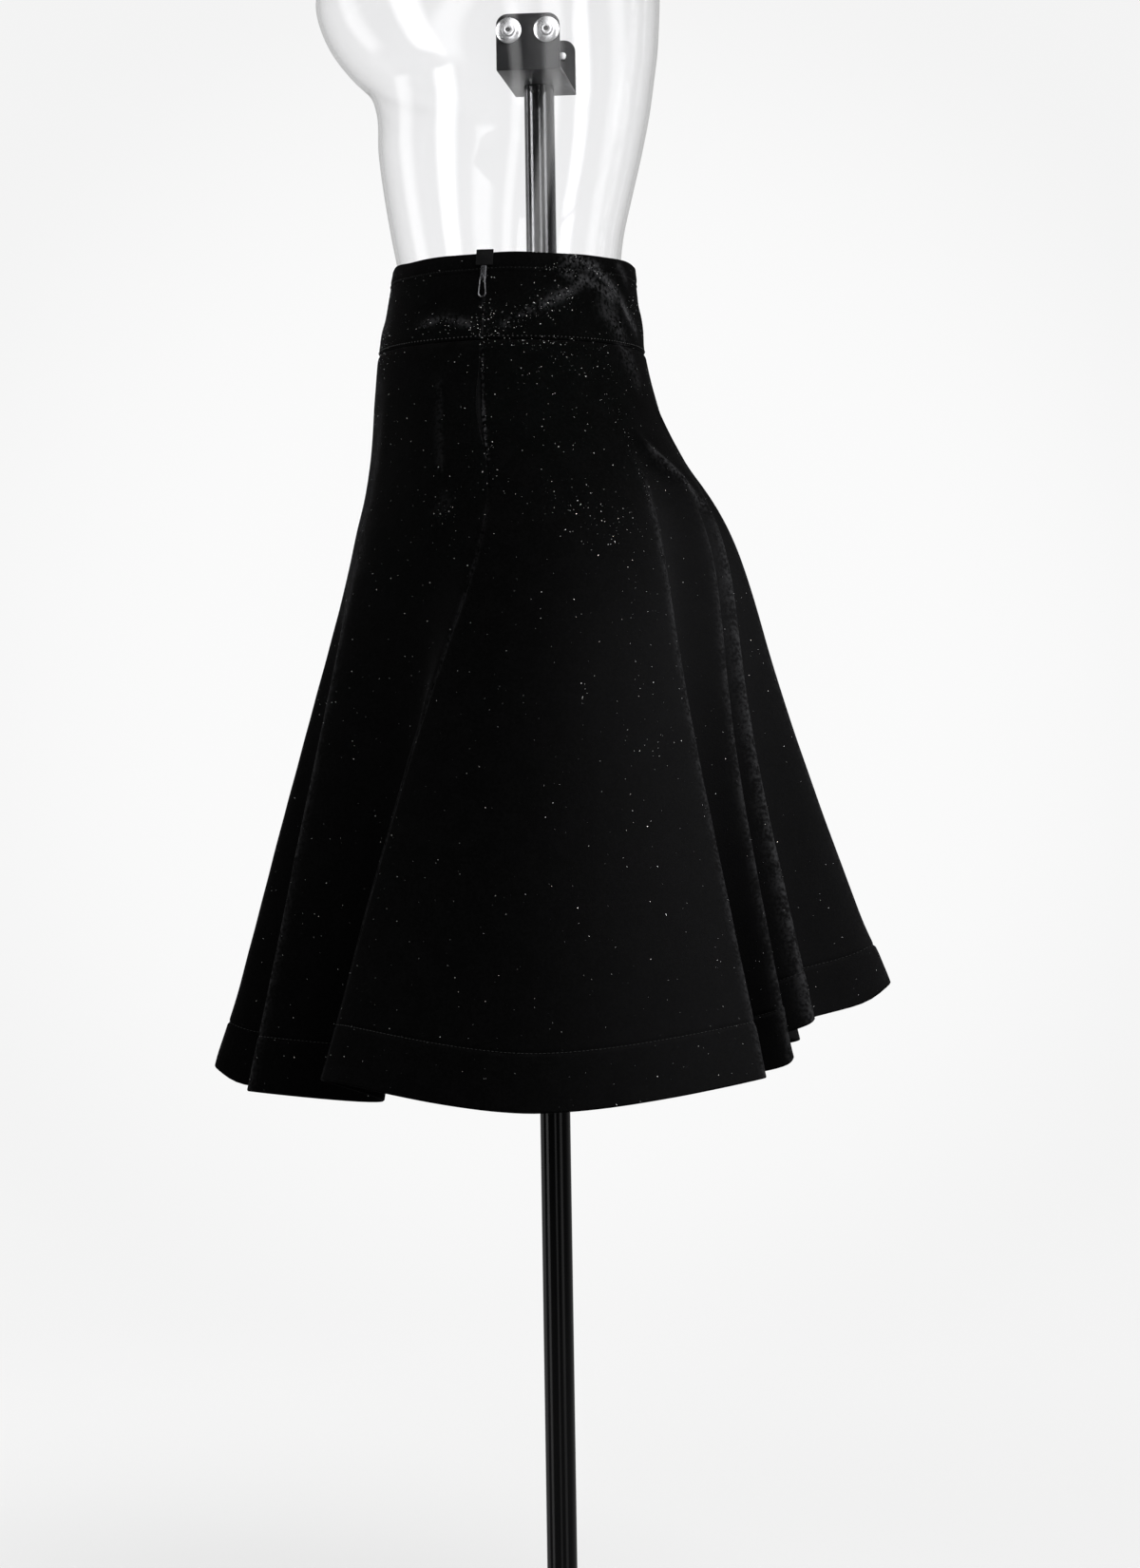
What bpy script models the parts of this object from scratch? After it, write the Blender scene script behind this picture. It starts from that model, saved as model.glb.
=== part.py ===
"""A flared skater skirt of glitter velvet on a clear, limbless dress form with a pole stand.

Metres, +Z up. The front of the garment faces -Y and its zip side faces +X. The origin is on the floor, on the
pole's axis. Bearings are in degrees round the pole: 0 is the front, 90 the zip side, 180 the back.
"""

import math
from collections import namedtuple

import bmesh
import bpy
import numpy as np
from mathutils import Matrix, Vector

# Driving sizes of the cloth
TOP_HEIGHT = 1.103
SKIRT_LENGTH = 0.660
YOKE_DEPTH = 0.068
CLOTH = 0.0018
TURNED_EDGE = 0.0026
TOP_BAND_DEPTH = 0.0135
TURN_STEP = 0.001
HEM_DEPTH = 0.044
SEAM_GAP = 0.0003
BAND_RISE = (TURNED_EDGE - CLOTH) / 2
STRAIGHTENING = 6
FOLD_GROWTH = 2.5
SLOPE_STEP = 0.002
STEPS_PER_FOLD = 5
STEPS_ON_WIDE_PANEL = 8
YOKE_COLUMNS = 60
ZIP_BEARING = 84.7

# Driving sizes of the zip
ZIP_LENGTH = 0.160
ZIP_TAPE_WIDTH = 0.024
ZIP_TAPE_THICKNESS = 0.0008
ZIP_TAPE_GAP = 0.0004
ZIP_TAPE_START = 0.0015
ZIP_TAPE_END = 0.1625
ZIP_TAPE_ROWS = 10
ZIP_TAPE_COLUMNS = 5
ZIP_LENS_WIDTH = 0.0040
ZIP_LENS_START = 0.075
TAB_WIDTH = 0.0135
TAB_DEPTH = 0.0105
TAB_THICKNESS = 0.0010
TAB_RISE = 0.0025
TAB_BEVEL = 0.0003
SLIDER_WIDTH = 0.0044
SLIDER_DEPTH = 0.0115
SLIDER_THICKNESS = 0.0020
SLIDER_BEVEL = 0.0005
LUG_WIDTH = 0.0014
LUG_RADIUS = 0.0020
LUG_BORE = 0.0011
LUG_AXIS_OUT = 0.0013
LUG_ABOVE_END = 0.0014
PULL_TOP_WIDTH = 0.0034
PULL_WIDTH = 0.0056
PULL_LENGTH = 0.0165
PULL_WIRE = 0.0011
PULL_TOP_RADIUS = 0.0008
PULL_TOP_STEPS = 4
PULL_FOOT_STEPS = 8

# Driving sizes of the dress form and its stand
FORM_WALL = 0.003
FORM_COLUMNS = 32
NECK_RISE = 0.005
BASE_RADIUS = 0.160
BASE_THICKNESS = 0.008
BASE_BEVEL = 0.002
SOCKET_RADIUS = 0.020
SOCKET_BEVEL = 0.001
SOCKET_HEIGHT = 0.036
SOCKET_FLOOR = 0.003
POLE_RADIUS = 0.012
POLE_TOP = 1.2488
PLATE_THICKNESS = 0.005
PLATE_INSET = 0.0005
COLLAR_RADIUS = 0.021
COLLAR_HEIGHT = 0.028
COLLAR_BEVEL = 0.0015
BRACKET_SHEET = 0.003
BRACKET_WIDTH = 0.0495
BRACKET_HEIGHT = 0.044
BRACKET_NEAR_X = 0.073
BRACKET_FAR_X = -0.047
BRACKET_CORNER = 0.009
WASHER_RADIUS = 0.010
WASHER_SPACING = 0.0295
WASHER_HEIGHT = 1.2800
WASHER_DISH = 0.0022
WASHER_CROWN = 0.0004
WASHER_CROWN_OUT = 0.0010
WASHER_SHOULDER = 0.0072
WASHER_EDGE = 0.0010
SCREW_RADIUS = 0.0030
SCREW_HEAD_LIFT = 0.0009
SCREW_HEAD_RADIUS = 0.0046
SCREW_HEAD = 0.0020
SCREW_HEAD_BEVEL = 0.0005
SCREW_SOCKET = 0.0018
SCREW_LENGTH = 0.0060

# The smooth hips, by how far the level lies below the top edge, with the widest bearing's place on Y
Level = namedtuple("Level", "drop front back side centre")
HIP_LEVELS = (
    Level(0.000, -0.1170, 0.0730, 0.1165, -0.0220),
    Level(0.034, -0.1235, 0.0765, 0.1250, -0.0230),
    Level(0.068, -0.1305, 0.0805, 0.1335, -0.0240),
    Level(0.100, -0.1335, 0.0875, 0.1420, -0.0230),
    Level(0.130, -0.1355, 0.0970, 0.1510, -0.0210),
    Level(0.155, -0.1380, 0.1110, 0.1590, -0.0170),
    Level(0.178, -0.1420, 0.1270, 0.1665, -0.0120),
    Level(0.210, -0.1500, 0.1420, 0.1760, -0.0060),
    Level(0.250, -0.1610, 0.1560, 0.1870, -0.0020),
)

# Each crest and valley: its bearing, reach and height at the hem, and where on the hips it starts
Fold = namedtuple("Fold", "name bearing reach height start_bearing start_drop bend")
FOLDS = (
    Fold("front_crest", 2, 0.272, 0.463, 4, 0.185, 0.75),
    Fold("front_side_valley", 14, 0.214, 0.457, 14, 0.200, 0.80),
    Fold("front_side_crest", 24, 0.250, 0.461, 24, 0.180, 0.60),
    Fold("zip_side_valley", 47, 0.176, 0.454, 68, 0.150, 0.80),
    Fold("zip_seam_crest", 54, 0.260, 0.477, ZIP_BEARING, 0.162, 0.45),
    Fold("zip_side_panel", 93, 0.278, 0.456, 108, 0.170, 1.05),
    Fold("back_side_crest", 132, 0.269, 0.475, 140, 0.145, 0.40),
    Fold("back_side_valley", 137, 0.196, 0.468, 147, 0.140, 0.80),
    Fold("thin_crest", 141, 0.254, 0.485, 157, 0.172, 0.60),
    Fold("thin_valley", 145, 0.200, 0.490, 162, 0.160, 0.80),
    Fold("round_crest", 149, 0.247, 0.512, 167, 0.172, 0.75),
    Fold("back_zip_valley", 160, 0.186, 0.503, 173, 0.162, 0.80),
    Fold("back_crest", 177, 0.268, 0.524, 180, 0.172, 0.75),
    Fold("back_far_valley", 192, 0.194, 0.503, 189, 0.162, 0.80),
    Fold("far_round_crest", 207, 0.253, 0.512, 198, 0.172, 0.70),
    Fold("far_thin_valley", 214, 0.200, 0.492, 206, 0.158, 0.80),
    Fold("far_back_crest", 226, 0.266, 0.478, 219, 0.150, 0.50),
    Fold("far_panel", 268, 0.277, 0.457, 250, 0.168, 1.05),
    Fold("far_seam_crest", 306, 0.262, 0.475, 276, 0.160, 0.50),
    Fold("far_side_valley", 315, 0.182, 0.455, 294, 0.152, 0.80),
    Fold("far_front_crest", 335, 0.254, 0.461, 333, 0.180, 0.60),
    Fold("far_front_valley", 347, 0.212, 0.458, 346, 0.195, 0.80),
)
WIDE_PANELS = ("zip_side_panel", "far_panel")
ZIP_SEAM = "zip_seam_crest"
FAR_SEAM = "far_seam_crest"

# How far below the top edge each ring of the skirt's cloth lies
HEM_DROP = SKIRT_LENGTH - HEM_DEPTH
SKIRT_DROPS = (0.090, 0.112, 0.132, 0.150, 0.168, 0.188, 0.212, 0.245, 0.300, 0.380, 0.470, 0.550)
YOKE_DROPS = (0.034, 0.052)

# The dress form, by height. Bust and shoulders lie above the skirt, hips under it
FormLevel = namedtuple("FormLevel", "height front back side centre")
FORM_LEVELS = (
    FormLevel(1.5850, -0.0560, 0.0300, 0.0480, -0.0120),
    FormLevel(1.5400, -0.0580, 0.0350, 0.0520, -0.0100),
    FormLevel(1.5100, -0.0680, 0.0470, 0.0820, -0.0060),
    FormLevel(1.4850, -0.0810, 0.0610, 0.1380, -0.0030),
    FormLevel(1.4450, -0.1000, 0.0790, 0.1690, -0.0020),
    FormLevel(1.4000, -0.1260, 0.0920, 0.1660, -0.0060),
    FormLevel(1.3550, -0.1570, 0.0970, 0.1560, -0.0120),
    FormLevel(1.3170, -0.1765, 0.0965, 0.1480, -0.0160),
    FormLevel(1.2950, -0.1725, 0.0955, 0.1440, -0.0160),
    FormLevel(1.2740, -0.1620, 0.0940, 0.1400, -0.0140),
    FormLevel(1.2560, -0.1475, 0.0915, 0.1370, -0.0120),
    FormLevel(1.2420, -0.1335, 0.0895, 0.1340, -0.0110),
    FormLevel(1.2320, -0.1300, 0.0880, 0.1320, -0.0110),
    FormLevel(1.1950, -0.1280, 0.0805, 0.1245, -0.0130),
    FormLevel(1.1600, -0.1238, 0.0720, 0.1175, -0.0180),
    FormLevel(1.1270, -0.1185, 0.0645, 0.1135, -0.0210),
)
# Below the waist the form lies inside the cloth by these allowances
HipLevel = namedtuple("HipLevel", "drop front back side")
FORM_HIPS = (
    HipLevel(0.000, 0.0026, 0.0110, 0.0046),
    HipLevel(0.068, 0.0026, 0.0070, 0.0046),
    HipLevel(0.100, 0.0030, 0.0042, 0.0048),
    HipLevel(0.130, 0.0050, 0.0040, 0.0052),
    HipLevel(0.155, 0.0100, 0.0080, 0.0085),
    HipLevel(0.178, 0.0180, 0.0160, 0.0140),
    HipLevel(0.210, 0.0300, 0.0300, 0.0240),
)
# The neck's closed top, as shares of the neck's own section and how far they stand above it
NeckLevel = namedtuple("NeckLevel", "share rise")
NECK_LEVELS = (NeckLevel(0.55, 0.0045), NeckLevel(0.88, 0.0030))

# Colour, roughness, metallic value and transparency of each finish
Finish = namedtuple("Finish", "colour roughness metallic transmission")
FINISHES = {
    "velvet": Finish((0.008, 0.008, 0.009), 0.85, 0.0, 0.0),
    "satin_tape": Finish((0.012, 0.012, 0.013), 0.50, 0.0, 0.0),
    "zip_metal": Finish((0.06, 0.06, 0.065), 0.30, 1.0, 0.0),
    "clear_plastic": Finish((0.95, 0.96, 0.97), 0.05, 0.0, 1.0),
    "black_metal": Finish((0.018, 0.018, 0.019), 0.35, 0.0, 0.0),
    "bright_steel": Finish((0.62, 0.62, 0.63), 0.25, 1.0, 0.0),
}


def clear_scene():
    for obj in list(bpy.data.objects):
        bpy.data.objects.remove(obj, do_unlink=True)


def make_collection(name):
    collection = bpy.data.collections.new(name)
    bpy.context.scene.collection.children.link(collection)
    return collection


def make_material(node, finish):
    look = FINISHES[finish]
    material = bpy.data.materials.new(f"{node}_{finish}")
    material.use_nodes = True
    shader = material.node_tree.nodes["Principled BSDF"]
    shader.inputs["Base Color"].default_value = (*look.colour, 1.0)
    shader.inputs["Roughness"].default_value = look.roughness
    shader.inputs["Metallic"].default_value = look.metallic
    shader.inputs["Transmission Weight"].default_value = look.transmission
    return material


def add_object(name, mesh, finish, collection, sharp_degrees=40):
    mesh.shade_smooth()
    mesh.set_sharp_from_angle(angle=math.radians(sharp_degrees))
    mesh.materials.append(make_material(name, finish))
    obj = bpy.data.objects.new(name, mesh)
    collection.objects.link(obj)
    return obj


def smoothstep(value):
    value = np.clip(value, 0.0, 1.0)
    return value * value * (3.0 - 2.0 * value)


# The hips

def read_level(levels, key, at, field):
    """A named column of a table of levels, read between its rows on a smooth curve."""
    places = np.array([getattr(level, key) for level in levels])
    values = np.array([getattr(level, field) for level in levels])
    if places[0] > places[-1]:
        places, values = places[::-1], values[::-1]
    slopes = np.gradient(values, places)
    at = float(np.clip(at, places[0], places[-1]))
    i = int(np.clip(np.searchsorted(places, at) - 1, 0, len(places) - 2))
    width = places[i + 1] - places[i]
    t = (at - places[i]) / width
    return hermite(values[i], slopes[i] * width, values[i + 1], slopes[i + 1] * width, t)


def hermite(start, start_slope, end, end_slope, t):
    """The cubic from start to end that leaves and arrives with the given slopes."""
    return (
        (2 * t**3 - 3 * t**2 + 1) * start
        + (t**3 - 2 * t**2 + t) * start_slope
        + (3 * t**2 - 2 * t**3) * end
        + (t**3 - t**2) * end_slope
    )


def hip_point(bearing, drop):
    """A point of the smooth hips: an ellipse that is deeper at the back than at the front."""
    front, back, side, centre = (
        read_level(HIP_LEVELS, "drop", drop, field) for field in ("front", "back", "side", "centre")
    )
    angle = math.radians(bearing)
    depth = centre - front if math.cos(angle) > 0 else back - centre
    return np.array([side * math.sin(angle), centre - depth * math.cos(angle), TOP_HEIGHT - drop])


# The folds

def fold_point(fold, drop):
    """Where a crest or valley lies at a level, and how far the fold has grown there, from 0 to 1."""
    if drop <= fold.start_drop:
        return hip_point(fold.start_bearing, drop), 0.0
    start = hip_point(fold.start_bearing, fold.start_drop)
    angle = math.radians(fold.bearing)
    hem = np.array([fold.reach * math.sin(angle), -fold.reach * math.cos(angle), fold.height])
    slope = (start - hip_point(fold.start_bearing, fold.start_drop - SLOPE_STEP)) / SLOPE_STEP
    run = SKIRT_LENGTH - fold.start_drop
    grown = (drop - fold.start_drop) / run
    leaving = (slope * run - (hem - start)) * grown * (1.0 - grown) ** STRAIGHTENING
    return start + (hem - start) * grown + leaving, grown


def ring_spans():
    """How many steps each fold takes to the next one."""
    spans = []
    for i, fold in enumerate(FOLDS):
        follower = FOLDS[(i + 1) % len(FOLDS)]
        wide = fold.name in WIDE_PANELS or follower.name in WIDE_PANELS
        spans.append(STEPS_ON_WIDE_PANEL if wide else STEPS_PER_FOLD)
    return spans


def cloth_ring(drop):
    """The cloth's outer face at one level: a closed curve through the crests and valleys there."""
    found = [fold_point(fold, drop) for fold in FOLDS]
    points = np.array([point for point, _ in found])
    grown = np.array([smoothstep(share * FOLD_GROWTH) for _, share in found])
    bend = np.array([fold.bend for fold in FOLDS])
    tension = 1.0 + (bend - 1.0) * grown
    after = np.roll(points, -1, axis=0) - points
    length = np.linalg.norm(after, axis=1)
    before_length = np.roll(length, 1)
    ahead = after / length[:, None]
    behind = np.roll(ahead, 1, axis=0)
    even = 1.0 - grown
    heading = behind * (length**even)[:, None] + ahead * (before_length**even)[:, None]
    heading /= np.linalg.norm(heading, axis=1)[:, None]
    ring = []
    for i, span in enumerate(ring_spans()):
        j = (i + 1) % len(FOLDS)
        leave = heading[i] * tension[i] * length[i]
        arrive = heading[j] * tension[j] * length[i]
        for step in range(span):
            ring.append(hermite(points[i], leave, points[j], arrive, step / span))
    return np.array(ring)


def column_of(name):
    """The ring's column at a named fold."""
    index = [fold.name for fold in FOLDS].index(name)
    return sum(ring_spans()[:index])


def outward(grid):
    """The outward direction at each point of a closed grid of rows by columns."""
    along = np.roll(grid, -1, axis=1) - np.roll(grid, 1, axis=1)
    down = np.gradient(grid, axis=0)
    normal = np.cross(down, along)
    return normal / np.linalg.norm(normal, axis=2)[:, :, None]


def cut_grid(grid, first, last):
    """The columns from first to last, going round the ring where last comes before first."""
    count = grid.shape[1]
    if last <= first:
        last += count
    return grid[:, [i % count for i in range(first, last + 1)]]


def wall_mesh(name, outer, inner):
    """A closed wall between an outer and an inner grid of points, with its four edges walled too."""
    rows, columns = outer.shape[:2]
    points = np.concatenate([outer.reshape(-1, 3), inner.reshape(-1, 3)])
    back = rows * columns

    def at(row, column):
        return row * columns + column

    faces = []
    for r in range(rows - 1):
        for c in range(columns - 1):
            quad = [at(r, c), at(r + 1, c), at(r + 1, c + 1), at(r, c + 1)]
            faces.append(quad)
            faces.append([back + i for i in reversed(quad)])
    edge = [at(0, c) for c in range(columns)]
    edge += [at(r, columns - 1) for r in range(1, rows)]
    edge += [at(rows - 1, c) for c in range(columns - 2, -1, -1)]
    edge += [at(r, 0) for r in range(rows - 2, 0, -1)]
    for i, start in enumerate(edge):
        end = edge[(i + 1) % len(edge)]
        faces.append([start, end, back + end, back + start])
    mesh = bpy.data.meshes.new(name)
    mesh.from_pydata([tuple(p) for p in points], [], faces)
    mesh.validate()
    return mesh


def lens(drop):
    """How far the zip's front lip stands away from its seam line at a level."""
    share = (drop - ZIP_LENS_START) / (ZIP_LENGTH - ZIP_LENS_START)
    if not 0.0 < share < 1.0:
        return 0.0
    return ZIP_LENS_WIDTH * math.sin(math.pi * share) ** 2


def part_seams(outer, inner, drops, zip_first):
    """Draws a panel's two side edges back from their seam lines, the zip's front lip by its lens too."""
    for r, drop in enumerate(drops):
        front_lip = lens(drop)
        for column, step, is_zip in ((0, 1, zip_first), (-1, -2, not zip_first)):
            back_by = SEAM_GAP / 2
            if is_zip and not zip_first:
                back_by += front_lip
            for grid in (outer, inner):
                towards = grid[r, step] - grid[r, column]
                grid[r, column] += towards / np.linalg.norm(towards) * back_by


def thickness_at(drop):
    """The wall's thickness: more where the top edge and the hem are turned."""
    turned = drop <= TOP_BAND_DEPTH or drop > HEM_DROP
    return TURNED_EDGE if turned else CLOTH


def panel_pair(names, grid, drops, zip_column, far_column, collection):
    """The front and back pieces of one band of the garment, cut from the same closed grid."""
    normal = outward(grid)
    thick = np.array([thickness_at(drop) for drop in drops])[:, None, None]
    raised = np.array([BAND_RISE if drop <= TOP_BAND_DEPTH else 0.0 for drop in drops])[:, None, None]
    outer_ring = grid + normal * raised
    inner_ring = outer_ring - normal * thick
    cuts = ((far_column, zip_column, False), (zip_column, far_column, True))
    for name, (first, last, zip_first) in zip(names, cuts):
        outer = cut_grid(outer_ring, first, last)
        inner = cut_grid(inner_ring, first, last)
        part_seams(outer, inner, drops, zip_first)
        add_object(name, wall_mesh(name, outer, inner), "velvet", collection)


def make_skirt(collection):
    hem_turn = HEM_DROP + TURN_STEP
    drops = (YOKE_DEPTH + SEAM_GAP / 2, *SKIRT_DROPS, HEM_DROP, hem_turn, SKIRT_LENGTH)
    grid = np.array([cloth_ring(drop) for drop in drops])
    names = ("skirt_front", "skirt_back")
    panel_pair(names, grid, drops, column_of(ZIP_SEAM), column_of(FAR_SEAM), collection)


def yoke_ring(drop):
    bearings = [ZIP_BEARING + 360.0 * i / YOKE_COLUMNS for i in range(YOKE_COLUMNS)]
    return np.array([hip_point(bearing, drop) for bearing in bearings])


def make_yoke(collection):
    drops = (0.0, TOP_BAND_DEPTH, TOP_BAND_DEPTH + TURN_STEP, *YOKE_DROPS, YOKE_DEPTH - SEAM_GAP / 2)
    grid = np.array([yoke_ring(drop) for drop in drops])
    far_bearing = FOLDS[[fold.name for fold in FOLDS].index(FAR_SEAM)].start_bearing
    far_column = round((far_bearing - ZIP_BEARING) / 360.0 * YOKE_COLUMNS)
    names = ("yoke_front", "yoke_back")
    panel_pair(names, grid, drops, 0, far_column, collection)


def seam_frame(drop):
    """The zip seam's point at a level, with its directions out of the cloth, towards the back and down."""
    point = hip_point(ZIP_BEARING, drop)
    level = hip_point(ZIP_BEARING + 1.0, drop) - hip_point(ZIP_BEARING - 1.0, drop)
    fall = hip_point(ZIP_BEARING, drop + SLOPE_STEP) - hip_point(ZIP_BEARING, max(drop - SLOPE_STEP, 0.0))
    fall /= np.linalg.norm(fall)
    out = np.cross(fall, level)
    out /= np.linalg.norm(out)
    return point, out, np.cross(out, fall), fall


def strip_mesh(name, drops, width, outer_face, thickness):
    """A strip along the zip's seam line that follows the hips, at a distance out from the outer face."""
    reach = np.hypot(*hip_point(ZIP_BEARING, drops[-1])[:2])
    turn = math.degrees(width / 2 / reach)
    outer, inner = [], []
    for drop in drops:
        _, out, _, _ = seam_frame(drop)
        row = []
        for share in np.linspace(-1.0, 1.0, ZIP_TAPE_COLUMNS):
            bearing = ZIP_BEARING + turn * share
            swing = math.radians(turn * share)
            tilt = np.array([
                out[0] * math.cos(swing) - out[1] * math.sin(swing),
                out[0] * math.sin(swing) + out[1] * math.cos(swing),
                out[2],
            ])
            row.append((hip_point(bearing, drop), tilt))
        outer.append([point + tilt * outer_face for point, tilt in row])
        inner.append([point + tilt * (outer_face - thickness) for point, tilt in row])
    return wall_mesh(name, np.array(outer), np.array(inner))


def make_zip_tape(collection):
    drops = np.linspace(ZIP_TAPE_START, ZIP_TAPE_END, ZIP_TAPE_ROWS)
    face = BAND_RISE - TURNED_EDGE - ZIP_TAPE_GAP
    mesh = strip_mesh("zip_tape", drops, ZIP_TAPE_WIDTH, face, ZIP_TAPE_THICKNESS)
    add_object("zip_tape", mesh, "satin_tape", collection)


def box_on_seam(low, high, bevel):
    """A small block in the zip seam's own directions at the top edge: out of the cloth, back and down."""
    point, out, across, fall = seam_frame(0.0)
    bm = bmesh.new()
    bmesh.ops.create_cube(bm, size=1.0)
    middle = [(a + b) / 2 for a, b in zip(low, high)]
    size = [b - a for a, b in zip(low, high)]
    for vertex in bm.verts:
        own = [middle[k] + vertex.co[k] * size[k] for k in range(3)]
        vertex.co = point + out * own[0] + across * own[1] + fall * own[2]
    # Out, back and down make a left-handed frame, which turns the block inside out
    bmesh.ops.reverse_faces(bm, faces=bm.faces[:])
    bmesh.ops.bevel(bm, geom=bm.edges[:], offset=bevel, segments=2, affect="EDGES")
    return bm


def finish_bmesh(bm, name):
    mesh = bpy.data.meshes.new(name)
    bm.to_mesh(mesh)
    bm.free()
    return mesh


def cylinder_mesh(name, radius, length, sides, place, axis):
    """A capped cylinder with its middle at a place and its length along an axis."""
    turn = Vector((0.0, 0.0, 1.0)).rotation_difference(Vector(axis)).to_matrix().to_4x4()
    bm = bmesh.new()
    bmesh.ops.create_cone(bm, cap_ends=True, segments=sides, radius1=radius, radius2=radius,
                          depth=length, matrix=Matrix.Translation(place) @ turn)
    return finish_bmesh(bm, name)


def boolean(obj, cutter, operation, cutters):
    """Cuts or joins a helper mesh with an object, and keeps the helper out of the render."""
    helper = bpy.data.objects.new(cutter.name, cutter)
    helper.hide_render = True
    helper.display_type = "WIRE"
    cutters.objects.link(helper)
    modifier = obj.modifiers.new(cutter.name, "BOOLEAN")
    modifier.operation = operation
    modifier.object = helper


def lug_axis():
    """The middle of the slider's lug, which the pull turns about."""
    point, out, across, fall = seam_frame(0.0)
    face = BAND_RISE + SEAM_GAP + SLIDER_THICKNESS
    end = TAB_DEPTH + SEAM_GAP + SLIDER_DEPTH
    return point + out * (face + LUG_AXIS_OUT) + fall * (end - LUG_ABOVE_END), across


def make_zip_fittings(collection, cutters):
    clear = BAND_RISE + SEAM_GAP
    tab = box_on_seam((clear, -TAB_WIDTH / 2, -TAB_RISE),
                      (clear + TAB_THICKNESS, TAB_WIDTH / 2, TAB_DEPTH), TAB_BEVEL)
    add_object("zip_end_tab", finish_bmesh(tab, "zip_end_tab"), "satin_tape", collection)
    top = TAB_DEPTH + SEAM_GAP
    end = top + SLIDER_DEPTH
    slider_block = box_on_seam((clear, -SLIDER_WIDTH / 2, top),
                               (clear + SLIDER_THICKNESS, SLIDER_WIDTH / 2, end), SLIDER_BEVEL)
    slider = add_object("zip_slider", finish_bmesh(slider_block, "zip_slider"), "zip_metal", collection)
    place, across = lug_axis()
    lug = cylinder_mesh("slider_lug", LUG_RADIUS, LUG_WIDTH, 20, place, across)
    boolean(slider, lug, "UNION", cutters)
    bore = cylinder_mesh("slider_bore", LUG_BORE, LUG_WIDTH * 6, 16, place, across)
    boolean(slider, bore, "DIFFERENCE", cutters)


def make_zip_pull(collection):
    """The teardrop wire pull through the slider's lug. It hangs with its foot just clear of the cloth."""
    _, out, _, fall = seam_frame(0.0)
    place, across = lug_axis()
    lift = BAND_RISE + SEAM_GAP + SLIDER_THICKNESS + LUG_AXIS_OUT
    foot = BAND_RISE + SEAM_GAP * 2 + PULL_WIRE / 2
    lean = math.asin((lift - foot) / PULL_LENGTH)
    down = fall * math.cos(lean) - out * math.sin(lean)
    length = PULL_LENGTH - PULL_WIRE
    foot_radius = PULL_WIDTH / 2
    outline = []
    for angle in np.linspace(0.0, math.pi / 2, PULL_TOP_STEPS + 1):
        outline.append((PULL_TOP_WIDTH / 2 - PULL_TOP_RADIUS * (1 - math.sin(angle)),
                        PULL_TOP_RADIUS * (1 - math.cos(angle))))
    for angle in np.linspace(0.0, math.pi / 2, PULL_FOOT_STEPS + 1):
        outline.append((foot_radius * math.cos(angle), length - foot_radius * (1 - math.sin(angle))))
    loop = outline + [(-side, along) for side, along in outline[-2::-1]]
    curve = bpy.data.curves.new("zip_pull_tab", "CURVE")
    curve.dimensions = "3D"
    curve.bevel_depth = PULL_WIRE / 2
    curve.bevel_resolution = 2
    spline = curve.splines.new("POLY")
    spline.points.add(len(loop) - 1)
    for knot, (side, along) in zip(spline.points, loop):
        offset = across * side + down * along
        knot.co = (*offset, 1.0)
    spline.use_cyclic_u = True
    curve.materials.append(make_material("zip_pull_tab", "zip_metal"))
    pull = bpy.data.objects.new("zip_pull_tab", curve)
    pull.location = place
    collection.objects.link(pull)


# The dress form

def form_ring(front, back, side, centre, height):
    ring = []
    for i in range(FORM_COLUMNS):
        angle = 2 * math.pi * i / FORM_COLUMNS
        depth = centre - front if math.cos(angle) > 0 else back - centre
        ring.append((side * math.sin(angle), centre - depth * math.cos(angle), height))
    return ring


def form_rings():
    """The form's sections from the neck down to its open bottom."""
    neck = FORM_LEVELS[0]
    rings = []
    for level in NECK_LEVELS:
        rings.append(form_ring(neck.centre + (neck.front - neck.centre) * level.share,
                               neck.centre + (neck.back - neck.centre) * level.share,
                               neck.side * level.share, neck.centre, neck.height + level.rise))
    for level in FORM_LEVELS:
        rings.append(form_ring(level.front, level.back, level.side, level.centre, level.height))
    for level in FORM_HIPS:
        front, back, side, centre = (
            read_level(HIP_LEVELS, "drop", level.drop, field) for field in ("front", "back", "side", "centre")
        )
        rings.append(form_ring(front + level.front, back - level.back, side - level.side, centre,
                               TOP_HEIGHT - level.drop))
    return rings


def make_form(collection):
    rings = form_rings()
    neck = FORM_LEVELS[0]
    bm = bmesh.new()
    crown = bm.verts.new((0.0, neck.centre, neck.height + NECK_RISE))
    rows = [[bm.verts.new(point) for point in ring] for ring in rings]
    for i in range(FORM_COLUMNS):
        j = (i + 1) % FORM_COLUMNS
        bm.faces.new((crown, rows[0][i], rows[0][j]))
        for upper, lower in zip(rows, rows[1:]):
            bm.faces.new((upper[i], lower[i], lower[j], upper[j]))
    shell = add_object("form_shell", finish_bmesh(bm, "form_shell"), "clear_plastic", collection)
    wall = shell.modifiers.new("wall", "SOLIDIFY")
    wall.thickness = FORM_WALL
    wall.offset = -1.0
    wall.use_even_offset = True
    wall.use_quality_normals = True


# The stand

def profile_mesh(name, profile):
    """A line of (radius, height) points, ready to be turned about the pole's axis."""
    mesh = bpy.data.meshes.new(name)
    points = [(radius, 0.0, height) for radius, height in profile]
    edges = [(i, i + 1) for i in range(len(points) - 1)]
    mesh.from_pydata(points, edges, [])
    return mesh


def add_turned(name, profile, sides, finish, collection):
    obj = add_object(name, profile_mesh(name, profile), finish, collection)
    screw = obj.modifiers.new("turned", "SCREW")
    screw.steps = sides
    screw.render_steps = sides
    screw.use_merge_vertices = True
    screw.merge_threshold = 0.00002
    screw.use_smooth_shade = True
    return obj


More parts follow.
